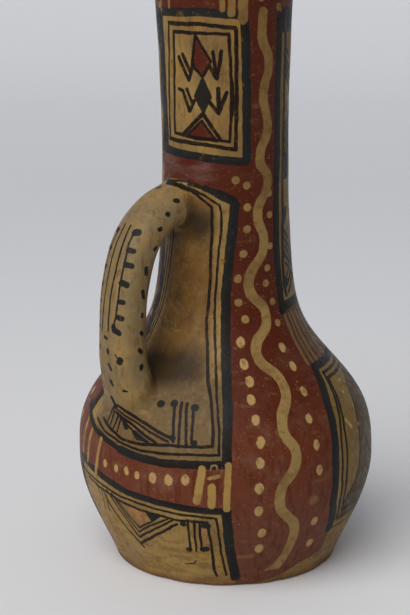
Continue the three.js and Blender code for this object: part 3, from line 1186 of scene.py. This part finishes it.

    # at the sides the ground is olive within the leaf, and grey beyond it; the grey is partly a darker slip
    # and partly painted shade of the vase's right side
    leaf = side_deg - finish.curve(height_mm, LEAF_EDGE, (30, 50), (110, 90))
    on_side = finish.rise(side_deg, 49, 51) * off_handle_panel
    low_side = on_side * near(height_mm, LEAF_MIDDLE_MM, 42, 38)
    high_side = on_side * finish.rise(height_mm, 138, 140) * 0.45
    grey = low_side * finish.rise(leaf, 0, 1.5)
    leaf_line = finish.rise(abs(leaf) * arc_mm, 1.3, 0.7) * low_side
    leaf_line = leaf_line * near(height_mm, LEAF_MIDDLE_MM, 33, 31)
    orange = finish.rise(here("orange_fills", draw_orange_fills) * 1000, 0.3, -0.3)
    paints = {
        "red": red, "brown_field": brown_field, "stripe": stripe, "faint": faint, "smoky": smoky,
        "thin": thin.higher(leaf_line), "borders": borders, "yellow": yellow, "bright": bright, "pale": pale,
    }
    ground = {
        "stained": stained, "sooty_shade": sooty_shade, "shade_under_handle_foot": shade_under_handle_foot, "olive": low_side - grey,
        "grey": grey.higher(high_side), "orange": orange, "rubbed": rubbed,
    }
    finish_surface(finish, colours, where, height_mm, ground, paints)
    return finish.material


def draw_soot_and_shade_patches(brush):
    """Middles of the two dark patches by the handle's roots, partly smoke stain and partly painted shade of
    the crotches.
    """
    brush.stroke([(-29, 186.5), (-24, 183.5)], 7)
    brush.stroke([(-42, 112), (-24, 113)], 11)


def draw_filled_motifs(brush):
    """The black lozenge of the neck panel, and the black corners and blots of the belly panels."""
    brush.keep(brush.outline([(-19, 258.5), (-10.5, 247.5), (-19, 238.5), (-28, 247.5)]))
    brush.keep(brush.outline([(-32.5, 42), (-24.5, 42), (-30, 36.5)]))
    brush.keep(brush.outline([(-40.5, 83.5), (-38, 83.5), (-29.5, 79), (-36.5, 79)]))
    brush.keep(brush.outline([(-45.5, 87), (-43, 87), (-41.5, 83), (-43.5, 82.5)]))
    brush.dots([(-30, 97), (-23.5, 98), (-13.5, 97)], 2.15)
    brush.dots([(-21, 83), (-12, 81.5), (-15.5, 22.5), (-16.5, 38.5)], 1.75)
    brush.stroke([(-50.5, 97.5), (-48.5, 93)], 2.3)
    brush.stroke([(-9.5, 23.5), (-8, 24)], 3.5)
    brush.stroke([(-8, 38.5), (-7, 38.5)], 3.8)


def draw_panel_reds(brush):
    """The neck panel's red lozenge and red triangle."""
    brush.keep(brush.outline([(-25, 278.5), (-11.5, 265.5), (-19, 257.5), (-28.5, 263)]))
    brush.keep(brush.outline([(-20.5, 235.5), (-7, 225.5), (-37, 227)]))


def draw_orange_fills(brush):
    """The corners of the nested arms, filled with a warmer ochre."""
    brush.keep(brush.outline([(-41.5, 42), (-32, 41.5), (-31, 37.5), (-37, 32.5)]))
    brush.keep(brush.outline([(-45, 81.5), (-40.5, 82.5), (-40.5, 79.5), (-45, 80)]))
    brush.keep(brush.outline([(-9.5, 40), (-6.5, 40), (-6, 25), (-9.5, 25)]))


def draw_faint_marks(brush):
    """Spots where yellow paint or slip is rubbed thin over the red and the ochre."""
    brush.dots([(35, 48.5), (22.5, 86)], 2.6)
    brush.stroke([(5, 18.5), (11.5, 19)], 1.8)
    brush.stroke([(-36.5, 93), (-33.5, 91)], 2.4)


def draw_stripes(brush):
    """Upright stripes on the shoulder."""
    for deg, width in SHOULDER_STRIPES:
        brush.stroke([(deg, 134.5), (deg + 0.8, 127), (deg + 0.6, 111)], width)


def draw_leaf_highlights(brush):
    """Small pale spots and a smear on the leaf: painted highlights."""
    brush.dots([(70.5, 99.5), (66, 95), (67.5, 88), (65.5, 79)], 0.9)
    brush.stroke([(57, 83.5), (59.5, 79.5)], 2.0)


def draw_neck_panel(brush):
    """Two frames round two lozenges and a peak, with hooks at their sides."""
    brush.stroke([(-53, 283), (-20, 283.5), (9, 282), (10, 280.5), (10.5, 251), (9.5, 221.5), (-22.5, 224),
                  (-59, 224.5)], 2.2)
    brush.stroke([(-59, 224.5), (-57, 254), (-53, 283)], 1.55)
    brush.stroke([(-47, 279), (-20.5, 279), (3.5, 279), (5.5, 261), (6.5, 246.5), (4, 225.5),
                  (-22.5, 227), (-51, 228), (-49, 254.5), (-47, 279)], 1.75)
    brush.stroke([(6, 255), (6.5, 246.5), (6, 239)], 2.3)
    brush.stroke([(-25, 278.5), (-11.5, 265.5), (-19, 257.5), (-28.5, 263), (-25, 278.5)], 1.55)
    brush.stroke([(-20.5, 235.5), (-7, 225.5), (-37, 227), (-20.5, 235.5)], 1.4)
    brush.stroke([(-40.5, 227.5), (-19.5, 239), (-3.5, 226)], 2.2)
    for hook in (
        [(-42, 266.5), (-32.5, 255.5), (-27.5, 263.5)],
        [(-37.5, 268), (-30, 259)],
        [(-43.5, 250.5), (-39, 250), (-32.5, 240), (-27.5, 245.5)],
        [(-34.5, 251), (-29.5, 244)],
        [(-13, 263), (-6.5, 257), (-2.5, 270.5)],
        [(-9.5, 270), (-8, 260.5)],
        [(-13, 245), (-5.5, 239.5), (1.5, 250)],
        [(-5.5, 252), (-5, 242)],
    ):
        brush.stroke(hook, 2.05)


def draw_tall_frames(brush):
    """Two frames, one inside the other, down the tall panel behind the handle and along its foot."""
    brush.stroke([(-33, 201.5), (-18, 197.5), (-11, 195.5), (-5, 193.5), (-3.5, 190), (-3.5, 181),
                  (-6.5, 165), (-8, 150), (-8.5, 140), (-7, 125), (-5, 110), (-4, 100.5), (-2.5, 88),
                  (-2.5, 76.5), (-13.5, 76), (-25.5, 75), (-34, 74.5), (-44, 76), (-54.5, 78.5),
                  (-63, 82.5)], 1.4)
    brush.stroke([(-53, 204), (-40, 203), (-30, 200.5), (-23, 196.5), (-12, 192.5), (-11.5, 181),
                  (-12.5, 168), (-13, 150), (-14.5, 135), (-12, 122), (-9, 108), (-6.5, 100), (-5, 88),
                  (-5, 80.5), (-9.5, 80), (-21.5, 79.5), (-34.5, 77.5), (-43.5, 78), (-50, 80),
                  (-58, 84)], 1.7)
    for k in range(3):
        brush.stroke([(-52 - 4 * k, 184), (-53 - 4 * k, 170), (-57 - 3.7 * k, 150), (-60.5 - 3.3 * k, 135),
                      (-63 - 3 * k, 118), (-66 - 2.5 * k, 98)], 1.15)


def draw_arms_under_handle(brush):
    """Four nested arms that meet in a peak, and four upright lines."""
    brush.stroke([(-48.5, 93.5), (-47.5, 94), (-37, 88.5), (-26.5, 84.5), (-21, 82.5)], 1.8)
    brush.stroke([(-49, 92), (-41.5, 88.5), (-31, 84), (-22.5, 81)], 1.2)
    brush.stroke([(-48.5, 90), (-43.5, 87.5), (-36, 83.5), (-27.5, 79.5)], 1.6)
    brush.stroke([(-46.5, 88), (-41, 84), (-31.5, 79)], 1.2)
    for arm in ([(-49, 93), (-51, 90.5), (-55, 82)], [(-49.5, 90.5), (-52.5, 81)],
                [(-47.5, 88.5), (-50, 80.5)], [(-46, 87), (-47.5, 80)]):
        brush.stroke(arm, 1.2)
    for line in ([(-23, 97.5), (-20.5, 81.5)], [(-20, 98.5), (-18, 79.5)], [(-17.5, 98.5), (-15, 80)],
                 [(-14, 96), (-13, 81.5)]):
        brush.stroke(line, 1.7)


def draw_belly_panel(brush):
    """Two frames, four nested arms that hang in a peak, and three upright lines."""
    brush.stroke([(-74, 53), (-67.5, 51.5), (-56.5, 50.5), (-44, 47.5), (-36.5, 46.5), (-29.5, 45.5),
                  (-23.5, 44.5), (-17.5, 44), (-9.5, 43.5), (-3.5, 43), (-2.5, 33), (-2, 23.5),
                  (-0.5, 13.5), (0.5, 7)], 1.4)
    brush.stroke([(-66, 49.5), (-53.5, 47), (-44.5, 44.5), (-34.5, 42.5), (-26, 41.5), (-19.5, 40.5),
                  (-13.5, 40.5), (-7, 40.5), (-6, 29.5), (-5.5, 20), (-5, 10), (-4, 6.5)], 1.6)
    brush.stroke([(-54.5, 46), (-51.5, 38.5), (-46.5, 29.5), (-41, 21.5), (-39, 18.5)], 1.3)
    brush.stroke([(-40, 20.5), (-27.5, 30.5), (-19, 38)], 1.6)
    for arms in (
        [(-52, 48), (-49, 43.5), (-44, 34.5), (-39.5, 24.5), (-29.5, 32.5), (-20.5, 40)],
        [(-49, 47), (-45.5, 41), (-42, 34), (-38.5, 28), (-31.5, 34), (-21.5, 41)],
        [(-46, 44.5), (-42, 37.5), (-37.5, 31), (-30, 37), (-26, 41)],
    ):
        brush.stroke(arms, 1.3)
    for line in ([(-14.5, 41), (-15, 23)], [(-12, 39.5), (-12.5, 22)], [(-10, 39.5), (-10, 23.5)]):
        brush.stroke(line, 1.4)
    for line in ([(-58.5, 47.5), (-57.5, 42.5)], [(-56, 46.5), (-57, 35.5)], [(-53, 44.5), (-54.5, 35)]):
        brush.stroke(line, 0.8)
    brush.stroke([(-18.5, 13), (-14.5, 13.5), (-13, 15.5)], 0.7)


def draw_side_lines(brush):
    """Frames in the panels away from the handle; the far half is their mirror image."""
    brush.stroke([(64, 277), (65, 262), (65.5, 240), (64.5, 228), (63.5, 208), (63, 190), (60.5, 177),
                  (58.5, 162), (58, 149), (59.5, 144)], 2.6)
    brush.stroke([(94, 106), (60.5, 105.5), (59, 100), (56.5, 93.5), (53, 85), (50.5, 75.5), (50, 65.5),
                  (50, 54.5), (50.5, 43.5), (52, 32), (62.5, 33), (94, 33)], 1.75)
    brush.stroke([(94, 103), (61.5, 103), (59.5, 96.5), (56.5, 88.5), (54.5, 82), (53.5, 75), (53, 64),
                  (52.5, 53.5), (53, 42.5), (54, 36.5), (60, 36.5), (94, 36.5)], 1.75)
    brush.stroke([(50, 26), (61.5, 27.5), (94, 28)], 1.4)


def draw_side_hatching(brush):
    """Black corners in the tall side panels, with slanted strokes that fan out of them."""
    for corners in (
        [(62, 276), (66, 272), (63.5, 256), (61.5, 256)],
        [(64, 236), (70, 231), (64.5, 214)],
        [(66, 218), (78, 214), (76, 203), (66, 203)],
        [(62, 189), (75, 188.5), (63.5, 180)],
        [(59.5, 169), (66.5, 164), (59.5, 162)],
        [(58.5, 154.5), (68.5, 151), (59.5, 146)],
    ):
        brush.keep(brush.outline(corners))
    for foot, count, rise in ((258, 4, -13), (208, 6, 11), (160, 5, -13), (145, 3, 11)):
        for k in range(count):
            brush.stroke([(64, foot + 4.2 * k), (86, foot + 4.2 * k + rise)], 1.9)


def finish_surface(finish, colours, where, height_mm, ground, paints):
    """Lays the colours over each other, then wear, stains, gloss and relief.

    ground holds shares by which the slip changes its tone, and paints the shares covered by each paint.
    """
    cloud = finish.noise(where, 21, 3, 0.6)
    patch = finish.noise(where, 75, 4, 0.65)
    fine = finish.noise(where, 300, 4, 0.65)
    grain = finish.noise(where, 1100, 2, 0.6)
    upright = finish.noise(finish.vector("MULTIPLY", where, (1, 1, 0.2)), 360, 3, 0.6)
    level = finish.noise(finish.vector("MULTIPLY", where, (0.25, 0.25, 1)), 300, 3, 0.6)
    wear = fine * 0.55 + patch * 0.3 + grain * 0.15
    worn = finish.rise(wear, 0.58, 0.66)

    def stain(tone, noise, start, end, strength, tint):
        """The tone with a tint mixed in where a noise rises from start to end."""
        return finish.mix(finish.rise(noise, start, end) * strength, tone, tint)

    tone = finish.mix(finish.rise(cloud, 0.4, 0.64), colours.ochre, colours.stained_ochre)
    tone = stain(tone, patch, 0.5, 0.66, 0.75, colours.honey)
    handle_tone = stain(colours.handle_slip, patch, 0.46, 0.66, 0.7, colours.ochre)
    tone = finish.mix(ground["rubbed"], tone, handle_tone)
    if "stained" in ground:
        tone = finish.mix(ground["olive"], tone, colours.olive)
        # grey slip beyond the leaves, partly painted shade of the vase's right side
        tone = finish.mix(ground["grey"], tone, colours.grey_slip_and_shade)
        tone = finish.mix(ground["orange"], tone, colours.orange)
        smoked = finish.mix(finish.rise(patch, 0.45, 0.7), colours.brown, colours.dark_brown)
        tone = finish.mix(ground["stained"], tone, smoked)
        # painted shade under the handle's foot
        tone = finish.mix(ground["shade_under_handle_foot"] * 0.85, tone, colours.shade_under_handle_foot)
    low_down = finish.rise(height_mm, 42, 22)
    for noise, start, end, strength, tint in (
        (upright, 0.5, 0.72, 0.5 - low_down * 0.3, colours.dark_brown),
        (level, 0.46, 0.64, low_down * 0.6, colours.brown),
        (level, 0.6, 0.74, 0.15, colours.pale_ochre),
        (fine, 0.5, 0.66, 0.32, colours.brown),
        (fine, 0.46, 0.36, 0.08, colours.pale_ochre),
        (fine, 0.62, 0.72, 0.35, colours.dark_brown),
    ):
        tone = stain(tone, noise, start, end, strength, tint)
    if "sooty_shade" in ground:
        # painted shade with smoke stain, in the crotches by the handle's roots
        tone = finish.mix(ground["sooty_shade"] * 0.9, tone, colours.soot_and_shade)

    colour_now = tone
    if "red" in paints:
        # the red turns deeper higher up: partly a darker red, partly painted shade for the weaker light on
        # the neck
        high_up = finish.rise(height_mm + (cloud - 0.5) * 60, 70, 125)
        dulled = (finish.rise(patch, 0.45, 0.68) * 0.8).higher(finish.rise(height_mm, 75, 30) * 0.45)
        smoke_share = paints["smoky"] * (0.35 + (level - 0.5) * 2.5 + (patch - 0.5))
        red_tone = finish.mix(dulled, colours.red, colours.dull_red)
        red_tone = finish.mix(high_up * 0.85, red_tone, colours.deep_red_and_shade)
        red_tone = stain(red_tone, upright, 0.46, 0.7, 0.6, colours.deep_red_and_shade)
        clouded = finish.rise(cloud, 0.45, 0.6) * 0.3
        red_tone = stain(red_tone, level, 0.58, 0.72, clouded, colours.stained_ochre)
        red_tone = finish.mix(paints["brown_field"] * 0.6, red_tone, colours.dark_brown)
        red_tone = finish.mix(smoke_share, red_tone, colours.smoky_red)
        red_tone = stain(red_tone, grain - fine, 0.19, 0.27, 0.4, colours.yellow)
        colour_now = finish.mix(paints["red"] * (1 - worn * 0.35), tone, red_tone)
        colour_now = finish.mix(paints["faint"] * 0.22, colour_now, colours.cream)
        colour_now = finish.mix(paints["stripe"] * (0.95 - worn * 0.5), colour_now, colours.stripe)
    thin_paint = 0.98 - finish.rise(fine, 0.54, 0.72) * 0.25
    colour_now = finish.mix(paints["thin"] * thin_paint, colour_now, colours.umber)
    black_tone = finish.mix(finish.rise(cloud, 0.42, 0.62), colours.black, colours.blue_black)
    colour_now = finish.mix(paints["borders"] * (0.98 - worn * 0.4), colour_now, black_tone)
    if "yellow" in paints:
        yellow_tone = finish.mix(finish.rise(patch, 0.4, 0.62), colours.yellow, colours.stained_ochre)
        yellow_tone = stain(yellow_tone, fine, 0.5, 0.7, 0.5, colours.brown)
        yellow_tone = stain(yellow_tone, height_mm, 120, 300, 0.5, colours.brown)
        bright_tone = stain(colours.bright_yellow, patch, 0.45, 0.65, 0.8, colours.stained_ochre)
        rubbed_dots = 0.95 - finish.rise(fine, 0.5, 0.68) * 0.45
        colour_now = finish.mix(paints["yellow"] * (0.96 - worn * 0.4), colour_now, yellow_tone)
        colour_now = finish.mix(paints["bright"] * (0.96 - worn * 0.4), colour_now, bright_tone)
        colour_now = finish.mix(paints["pale"] * rubbed_dots, colour_now, colours.cream)
    colour_now = stain(colour_now, grain + fine, 1.24, 1.3, 0.6, colours.dark_brown)
    dusty_foot = finish.rise(height_mm + (patch - 0.5) * 22, 7, 1)
    colour_now = finish.mix(dusty_foot * 0.65, colour_now, colours.foot_clay)
    # painted shade: a thin dark band along the foot's lowest edge, where it meets the floor
    colour_now = stain(colour_now, height_mm + (fine - 0.5) * 5, 2.2, 0.3, 0.6, colours.dark_brown)
    finish.feed(finish.shader.inputs["Base Color"], colour_now)
    rough = 0.46 + (fine - 0.5) * 0.5 + (patch - 0.5) * 0.5 + dusty_foot * 0.25
    finish.feed(finish.shader.inputs["Roughness"], rough)
    relief = fine * 0.3 + grain * 0.12 + patch * 0.55 + upright * 0.2 + level * 0.2
    bump = finish.node("ShaderNodeBump", {}, {"Strength": 0.5, "Distance": 0.0009, "Height": relief})
    finish.feed(finish.shader.inputs["Normal"], bump)
    finish.shader.inputs["Specular IOR Level"].default_value = 0.11


# On the handle a place is given in millimetres: round from the middle of its outer face, and along from
# its top. The comb on the side that shows comes first, then the one on the far side: points and width.
COMB_MARKS = (
    ([(-6.5, 24.5), (-6, 30.5), (-7, 38.5), (-7, 46), (-7, 52), (-7, 61), (-6.5, 67), (-5, 75.5)], 1.2),
    ([(-7, 25), (-8.5, 24.5)], 4.2),
    ([(-7, 34.5), (-10, 34.5)], 2.8),
    ([(-8, 42), (-11, 42)], 3.0),
    ([(-7.5, 51.5), (-10.5, 52)], 3.3),
    ([(-7.5, 61), (-10, 61)], 2.7),
    ([(-7, 69), (-10, 69.5)], 2.8),
    ([(-5, 74.5), (-5.5, 76), (-8.5, 77)], 3.2),
    ([(6, 25), (6.5, 34), (7, 46), (7.5, 58), (8, 68), (8, 76)], 1.1),
    ([(6.5, 26), (8.5, 25.5)], 3.2),
    ([(6.5, 36), (10, 35.5)], 2.6),
    ([(7, 45.5), (10, 45.5)], 2.7),
    ([(7.5, 54.5), (10.5, 54.5)], 2.6),
    ([(7.5, 63), (10.5, 63)], 2.5),
    ([(8, 69.5), (10.5, 69.5)], 2.5),
    ([(8, 76), (10, 77)], 2.8),
)
LONG_LINES = (
    ([(-2, 22), (-2, 26.5), (-2.5, 33), (-2.5, 40), (-2.5, 46), (-2, 56), (-1.5, 67), (-1, 77)], 1.2),
    ([(2.5, 22), (2.5, 28), (2.5, 36), (2.5, 45), (3, 57), (3.5, 67), (4.5, 78.5)], 1.0),
)
# Dabs: middle, the way from there to one end, width
HANDLE_DABS = (
    ((-13, -3), (0.3, 0.5), 2.9),
    ((-15.6, 6.6), (0.1, 0.1), 2.8),
    ((-17.8, 16.3), (0.2, 0.6), 2.6),
    ((-21.4, 28.5), (0.2, 0.9), 2.3),
    ((-19.8, 43), (-0.5, 1.4), 2.7),
    ((-20.9, 56.2), (-0.7, 1.8), 2.4),
    ((-21.7, 68.2), (0, 0.6), 2.2),
    ((-21.7, 77.7), (-0.4, 0.4), 2.4),
    ((-20.8, 87.3), (-0.7, 0.7), 2.5),
    ((-21, 96.6), (0, 0.7), 2.8),
    ((3.2, -4.9), (-0.9, -0.5), 2.0),
    ((8, -2.4), (-0.7, -0.3), 1.6),
    ((10.5, -8.5), (-0.9, -0.5), 1.7),
    ((15, -4), (-0.8, -0.3), 1.6),
    ((0.8, 81.1), (-0.8, 0.3), 1.9),
    ((-0.7, 88), (-0.1, 0.5), 2.1),
    ((-8.9, 91.5), (0.2, 0.3), 3.7),
    ((-7, 89.5), (0.9, -1.2), 0.9),
    ((-2, 95.8), (-0.7, 1.2), 1.8),
    ((-1.7, 104.5), (-0.5, 1.0), 1.9),
    ((-9.9, 107.8), (-0.7, 0.2), 2.0),
    ((6.8, 87), (0, 1.0), 1.6),
    ((6.5, 99.5), (-0.3, 1.0), 1.7),
    ((17.5, 12), (0.2, 0.5), 2.5),
    ((20, 24), (0.2, 0.8), 2.3),
    ((20.5, 38), (0.4, 1.1), 2.5),
    ((21, 52), (0.4, 1.2), 2.3),
    ((21.3, 65), (0, 0.7), 2.3),
    ((21, 77), (0.3, 0.6), 2.3),
    ((20.5, 89), (0.5, 0.6), 2.4),
    ((13, 93), (0.4, 0.4), 2.2),
)


def draw_handle_dabs(brush):
    """Short slanted dabs, each drawn from its middle both ways."""
    for (across, along), (side, on), width in HANDLE_DABS:
        brush.stroke([(across - side, along - on), (across + side, along + on)], width)


def paint_handle(colours):
    """The handle: two long lines between two combs down its outer face, and dabs at its sides and roots."""
    finish = Finish("painted_handle")
    where, girth, flat, height_mm = surface_inputs(finish)
    place = finish.vector("ADD", flat, hand_drift(finish, where, 0.9 * MM, 130))
    ragged = finish.noise(where, 420, 3, 0.6)

    def drawn(name, draw):
        return finish.motif(name, draw, place, lambda across, along: (across * MM, along * MM), None)

    black = drawn("handle_combs", strokes(COMB_MARKS)).lower(drawn("handle_dabs", draw_handle_dabs)) * 1000
    black = finish.rise(black + (ragged - 0.5) * 0.8, 0.25, -0.25)
    thin = finish.rise(drawn("handle_lines", strokes(LONG_LINES)) * 1000 + (ragged - 0.5) * 0.5, 0.22, -0.22)
    ground = {"rubbed": off_wall_share(finish, where, girth, 1, 11)}
    finish_surface(finish, colours, where, height_mm, ground, {"borders": black, "thin": thin})
    return finish.material


def bare_clay(colours):
    """Unslipped clay inside and underneath: matt, gritty and unevenly fired."""
    finish = Finish("bare_clay")
    where = finish.object_place()
    patch = finish.noise(where, 30, 4, 0.6)
    grit = finish.noise(where, 500, 3, 0.6)
    tone = finish.mix(finish.rise(patch, 0.35, 0.7), colours.clay, (0.20, 0.11, 0.065))
    tone = finish.mix(finish.rise(grit, 0.55, 0.8) * 0.6, tone, (0.12, 0.07, 0.045))
    finish.feed(finish.shader.inputs["Base Color"], tone)
    finish.feed(finish.shader.inputs["Roughness"], 0.78 + (grit - 0.5) * 0.2)
    relief = patch * 0.6 + grit * 0.4
    bump = finish.node("ShaderNodeBump", {}, {"Strength": 0.5, "Distance": 0.0006, "Height": relief})
    finish.feed(finish.shader.inputs["Normal"], bump)
    return finish.material


class VASE_OT_build_vase(bpy.types.Operator):
    """Build the painted vase over its plain solid"""

    bl_idname = "vase.build_vase"
    bl_label = "Build vase"

    def execute(self, context):
        sizes = context.scene.vessel_sizes
        handle = context.scene.handle_sizes
        colours = context.scene.paint_colours
        mesh, points, girth = build_vase_mesh(sizes, handle)
        piece = make_object("painted_vase", mesh, points, girth)
        normals = read_vectors(piece.data.vertex_normals, "vector")
        place = read_vectors(piece.data.vertices, "co")
        off_axis = np.hypot(place[:, 0] + lean_at(sizes, place[:, 2]), place[:, 1])
        depth = body_radius(sizes, np.clip(place[:, 2], 0, sizes.height)) - off_axis
        inward = 1 - 2 * np.clip(depth / wall_at(sizes, place[:, 2]), 0, 1)
        sink = settle(place, sizes.unevenness, 12 * MM) * inward
        place = place - normals * sink[:, None]
        place[:, 2] = np.minimum(place[:, 2], sizes.height)
        piece.data.vertices.foreach_set("co", place.astype(np.float32).reshape(-1))
        piece.data.update()
        for material in (paint_wall(sizes, colours), paint_handle(colours), bare_clay(colours)):
            piece.data.materials.append(material)
        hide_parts("vase")
        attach(piece, "root")
        return {"FINISHED"}


class StageSettings(bpy.types.PropertyGroup):
    """Camera, floor and light."""

    camera_distance: length("Camera distance", "From the vase's axis, level with the floor", 1.0)
    camera_height: length("Camera height", "Above the floor", 0.3872)
    lens: number("Lens", "Focal length in millimetres", 115.37, 10)
    tilt: angle("Tilt", "How far the camera looks down", 14.3)
    aside: angle("Aside", "How far the camera looks to the left of the vase", 0.626)
    floor_grey: colour("Floor", "Pale studio floor", (0.685, 0.68, 0.68))
    backdrop_grey: colour("Backdrop", "The paper farther off, in less light", (0.515, 0.52, 0.54))
    room_light: number("Room", "Strength of the even light all round", 0.3)
    key_light: number("Key", "Strength of the soft light", 2.75)
    key_width: angle("Key width", "How wide the soft light is", 60)
    key_rise: angle("Key height", "How high the soft light stands", 45)
    key_aside: angle("Key turn", "How far to the left the soft light stands", 34)


class VASE_OT_build_stage(bpy.types.Operator):
    """Build the pale floor with its backdrop, the studio lights and the camera"""

    bl_idname = "vase.build_stage"
    bl_label = "Build stage"

    def execute(self, context):
        stage = context.scene.stage_settings
        make_floor(stage)
        make_lights(context, stage)
        make_camera(context, stage)
        return {"FINISHED"}


def make_floor(stage):
    """A flat floor that curves up into a backdrop: a profile carried sideways behind the vase."""
    near, far, bend_radius, top, half_width = 3.0, -1.6, 0.9, 4.0, 4.0
    toward = np.array([math.cos(SHOW_TURN), math.sin(SHOW_TURN), 0])
    sideways = np.array([-toward[1], toward[0], 0])
    flat = np.linspace(near, far, 12)
    bend = np.radians(np.linspace(0, 90, 14))[1:]
    run = np.concatenate([flat, far - bend_radius * np.sin(bend), [far - bend_radius]])
    rise = np.concatenate([np.zeros(12), bend_radius * (1 - np.cos(bend)), [top]])
    width = np.linspace(-half_width, half_width, 9)
    points = run[:, None, None] * toward + width[None, :, None] * sideways
    points[..., 2] = rise[:, None]
    index = np.arange(points.shape[0] * points.shape[1]).reshape(points.shape[:2])
    quads = grid_corners(index).reshape(-1, 4)
    data = bpy.data.meshes.new("studio_floor")
    data.from_pydata(points.reshape(-1, 3).tolist(), [], quads.tolist())
    data.polygons.foreach_set("use_smooth", np.ones(len(quads), bool))
    finish = Finish("studio_paper")
    where = finish.object_place()
    cloud = finish.noise(where, 3, 2, 0.5)
    nearness = finish.vector("DOT_PRODUCT", where, tuple(toward), output=1)
    farther = finish.rise(nearness + (cloud - 0.5) * 0.1, 0.15, -1.1)
    tone = finish.mix(farther, stage.floor_grey, stage.backdrop_grey)
    finish.feed(finish.shader.inputs["Base Color"], tone)
    finish.shader.inputs["Roughness"].default_value = 0.7
    data.materials.append(finish.material)
    made = bpy.data.objects.new("studio_floor", data)
    bpy.context.scene.collection.objects.link(made)


def make_lights(context, stage):
    """A dim even room and one very wide, soft light from the upper left, for the vase and its backdrop."""
    world = bpy.data.worlds.new("studio_room")
    world.use_nodes = True
    world.node_tree.nodes["Background"].inputs["Color"].default_value = (0.93, 0.95, 1.0, 1)
    world.node_tree.nodes["Background"].inputs["Strength"].default_value = stage.room_light
    context.scene.world = world
    light = bpy.data.lights.new("soft_light", "SUN")
    light.energy = stage.key_light
    light.angle = stage.key_width
    made = bpy.data.objects.new("soft_light", light)
    made.rotation_euler = Euler((math.pi / 2 - stage.key_rise, 0, SHOW_TURN + math.pi / 2 - stage.key_aside))
    context.scene.collection.objects.link(made)


def make_camera(context, stage):
    """The camera stands on the show side, looks down a little and past the vase's left."""
    data = bpy.data.cameras.new("camera")
    data.lens = stage.lens
    data.sensor_width = 36
    data.dof.use_dof = False
    made = bpy.data.objects.new("camera", data)
    made.location = (
        stage.camera_distance * math.cos(SHOW_TURN),
        stage.camera_distance * math.sin(SHOW_TURN),
        stage.camera_height,
    )
    made.rotation_euler = Euler((math.pi / 2 - stage.tilt, 0, SHOW_TURN + math.pi / 2 + stage.aside))
    context.scene.collection.objects.link(made)
    context.scene.camera = made
    context.scene.view_settings.view_transform = "Standard"


class VASE_PT_panel(bpy.types.Panel):
    """Lists the vase's builders and their settings"""

    bl_label = "Vase"
    bl_idname = "VASE_PT_panel"
    bl_space_type = "VIEW_3D"
    bl_region_type = "UI"
    bl_category = "Vase"

    def draw(self, context):
        for group in ("vessel_sizes", "handle_sizes", "paint_colours", "stage_settings"):
            box = self.layout.box()
            settings = getattr(context.scene, group)
            for name in settings.__annotations__:
                box.prop(settings, name)
        for operator in (VASE_OT_build_vase, VASE_OT_build_stage):
            self.layout.operator(operator.bl_idname)


SETTINGS = {
    "vessel_sizes": VesselSizes,
    "handle_sizes": HandleSizes,
    "paint_colours": PaintColours,
    "stage_settings": StageSettings,
}
CLASSES = (*SETTINGS.values(), VASE_OT_build_vase, VASE_OT_build_stage, VASE_PT_panel)


def register():
    for each in CLASSES:
        bpy.utils.register_class(each)
    for name, group in SETTINGS.items():
        setattr(bpy.types.Scene, name, PointerProperty(type=group))


def unregister():
    for name in SETTINGS:
        delattr(bpy.types.Scene, name)
    for each in reversed(CLASSES):
        bpy.utils.unregister_class(each)


def main():
    register()
    bpy.ops.vase.build_vase()
    bpy.ops.vase.build_stage()


if __name__ == "__main__":
    main()
